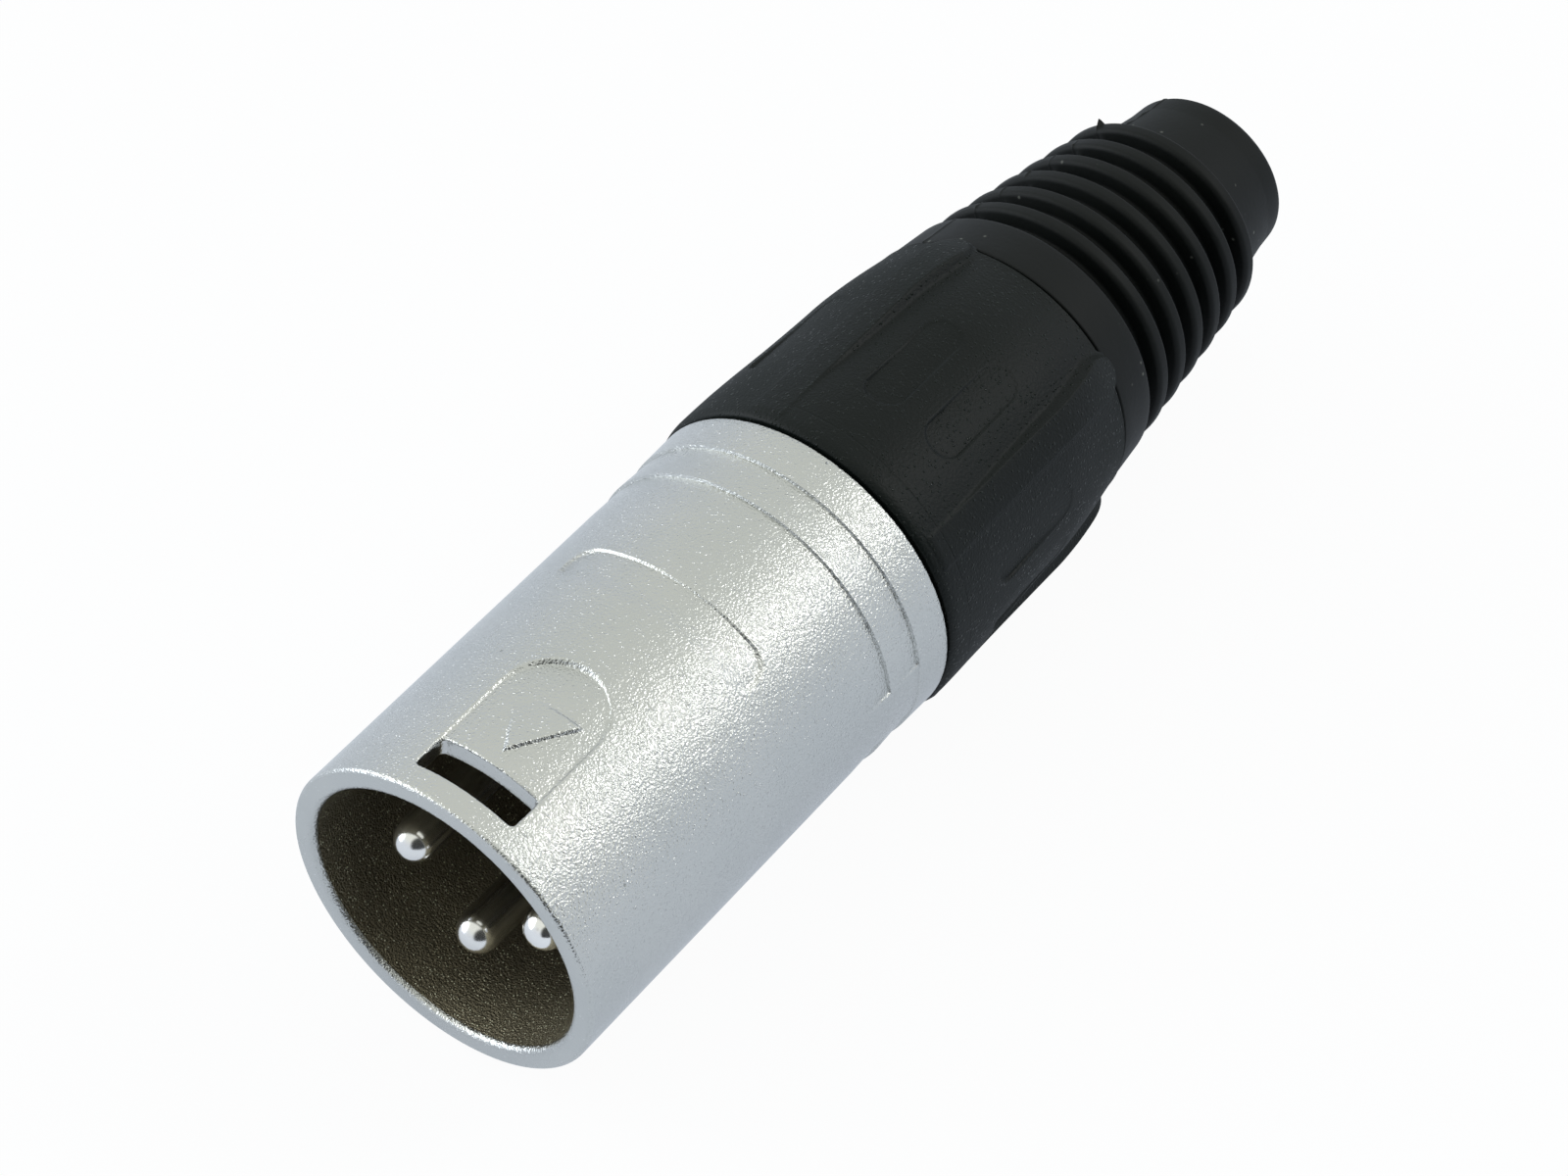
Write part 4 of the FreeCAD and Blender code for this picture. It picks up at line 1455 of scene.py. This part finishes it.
@dataclass
class Studio:
    """The pale floor, the soft lamp, the surroundings and the camera."""

    floor_z: float = -9.9
    floor_half: float = 3.0
    floor_tone: Triple = (0.76, 0.80, 0.86)
    floor_glow: Triple = (0.80, 0.87, 1.0)
    glow_seen: float = 0.95
    glow_mirrored: float = 0.60
    position: Triple = (75.385511, -94.781716, 174.66173)
    right: Triple = (0.799062, 0.596485, 0.075534)
    up: Triple = (-0.501244, 0.591499, 0.631572)
    back: Triple = (0.332045, -0.542526, 0.771629)
    lens: float = 98.6066
    horizon: Triple = (0.84, 0.90, 1.0)
    zenith: Triple = (0.97, 1.0, 0.955)
    sky_rise: tuple[float, float] = (0.05, 0.75)
    room_level: float = 0.92
    dim_side: Triple = (0.729, -0.587, 0.354)
    dim_edge: tuple[float, float] = (0.72, 0.86)
    dim_level: float = 0.06
    bright_side: Triple = (-0.88, -0.42, 0.20)
    bright_edge: tuple[float, float] = (0.84, 0.94)
    bright_level: float = 3.0
    lamp_aim: Triple = (0.0, 0.03, 0.0)
    lamp_distance: float = 0.5

    def floor(self) -> None:
        """Lay the floor: white where the camera or a reflection sees it, with the shadow kept."""
        size, level = self.floor_half, self.floor_z * MM
        corners = [(-size, -size), (size, -size), (size, size), (-size, size)]
        mesh = bpy.data.meshes.new("Floor")
        mesh.from_pydata([(x, y, level) for x, y in corners], [], [(0, 1, 2, 3)])
        floor = bpy.data.objects.new("Floor", mesh)
        bpy.context.scene.collection.objects.link(floor)
        material = bpy.data.materials.new("pale floor")
        sheet = new_sheet(material)
        rays = sheet.node("LightPath").outputs
        seen = rays["Is Camera Ray"]
        mirrored = sheet.maths("MAXIMUM", rays["Is Glossy Ray"], rays["Is Transmission Ray"])
        mirrored = sheet.maths("MULTIPLY", mirrored, self.glow_mirrored)
        share = sheet.maths("ADD", sheet.maths("MULTIPLY", seen, self.glow_seen), mirrored)
        paper = sheet.mix(seen, (*self.floor_glow, 1.0), (1.0, 1.0, 1.0, 1.0))
        glow = sheet.node("Emission", Color=paper, Strength=1.0)
        matt = sheet.node("BsdfDiffuse", Color=(*self.floor_tone, 1.0))
        sheet.finish("OutputMaterial", share, matt, glow)
        mesh.materials.append(material)

    def surroundings(self) -> None:
        """Light from all sides, and show white where the camera looks past the floor."""
        world = bpy.data.worlds.new("soft room")
        bpy.context.scene.world = world
        sheet = new_sheet(world)
        direction = sheet.node("TexCoord").outputs["Generated"]
        height = sheet.node("SeparateXYZ", Vector=direction).outputs["Z"]
        rise = sheet.spread(height, *self.sky_rise, 0.0, 1.0)
        tint = sheet.mix(rise, (*self.horizon, 1.0), (*self.zenith, 1.0))

        def towards(side: Triple) -> Socket:
            """Return the cosine of the angle to the given direction."""
            dot = sheet.node("VectorMath", operation="DOT_PRODUCT")
            sheet.fill(dot, (0, 1), direction, side)
            return dot.outputs["Value"]

        dim = towards(self.dim_side)
        level = sheet.spread(dim, *self.dim_edge, self.room_level, self.dim_level)
        bright = towards(self.bright_side)
        window = sheet.spread(bright, *self.bright_edge, 0.0, self.bright_level)
        level = sheet.maths("ADD", level, window)
        room = sheet.node("Background", Color=tint, Strength=level)
        white = sheet.node("Background", Color=(1.0, 1.0, 1.0, 1.0), Strength=1.0)
        seen = sheet.node("LightPath").outputs["Is Camera Ray"]
        sheet.finish("OutputWorld", seen, room, white)

    def lamp(self, name: str, turn: float, height: float, size: float, power: float) -> None:
        """Hang a square soft lamp that looks at the plug's middle.

        Args:
            name: the lamp's name.
            turn: direction in the floor's plane, from +X towards +Y, in degrees.
            height: angle above the floor, in degrees.
            size: side of the lamp, in metres.
            power: its power in watts.
        """
        data = bpy.data.lights.new(name, "AREA")
        data.shape = "SQUARE"
        data.size = size
        data.energy = power
        a, e = np.radians(turn), np.radians(height)
        back = np.array([np.cos(a) * np.cos(e), np.sin(a) * np.cos(e), np.sin(e)])
        side = np.array([-np.sin(a), np.cos(a), 0.0])
        place = np.array(self.lamp_aim) + back * self.lamp_distance
        lamp = hang(name, data, (side, np.cross(back, side), back), place)

    def camera(self) -> None:
        """Set the camera where the photograph was taken."""
        data = bpy.data.cameras.new("Camera")
        data.lens = self.lens
        data.sensor_width = 36.0
        data.clip_start = 0.01
        data.clip_end = 10.0
        axes = (self.right, self.up, self.back)
        bpy.context.scene.camera = hang("Camera", data, axes, np.array(self.position) * MM)

    def build(self) -> None:
        """Set up the whole studio."""
        bpy.context.scene.view_settings.view_transform = "Standard"
        self.floor()
        self.surroundings()
        self.lamp("Main lamp", turn=48.0, height=43.0, size=0.13, power=0.37)
        self.camera()


def main() -> None:
    """Build the plug and its studio, and keep the object's size."""
    logging.basicConfig(level=logging.INFO, format="%(name)s: %(message)s")
    for spare in list(bpy.data.objects):
        if spare.type in {"CAMERA", "LIGHT"}:
            bpy.data.objects.remove(spare)
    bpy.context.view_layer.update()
    effects = Effects()
    FrontSleeve().build(
        SATIN_NICKEL.build(effects), CAST_BORE_PAINTED_SHADE.build(effects), FACED_NICKEL.build(effects)
    )
    silver = SILVER_PLATE.build(effects)
    for number, angle in enumerate((-90.0, 90.0, 180.0), start=1):
        ContactPin(angle=angle, number=number).build(silver)
    GripBushing().build(BLACK_GRIP.build(effects))
    BendRelief().build(BLACK_RUBBER.build(effects))
    HiddenPieces().dress(effects)
    Studio().build()


if __name__ == "__main__":
    main()
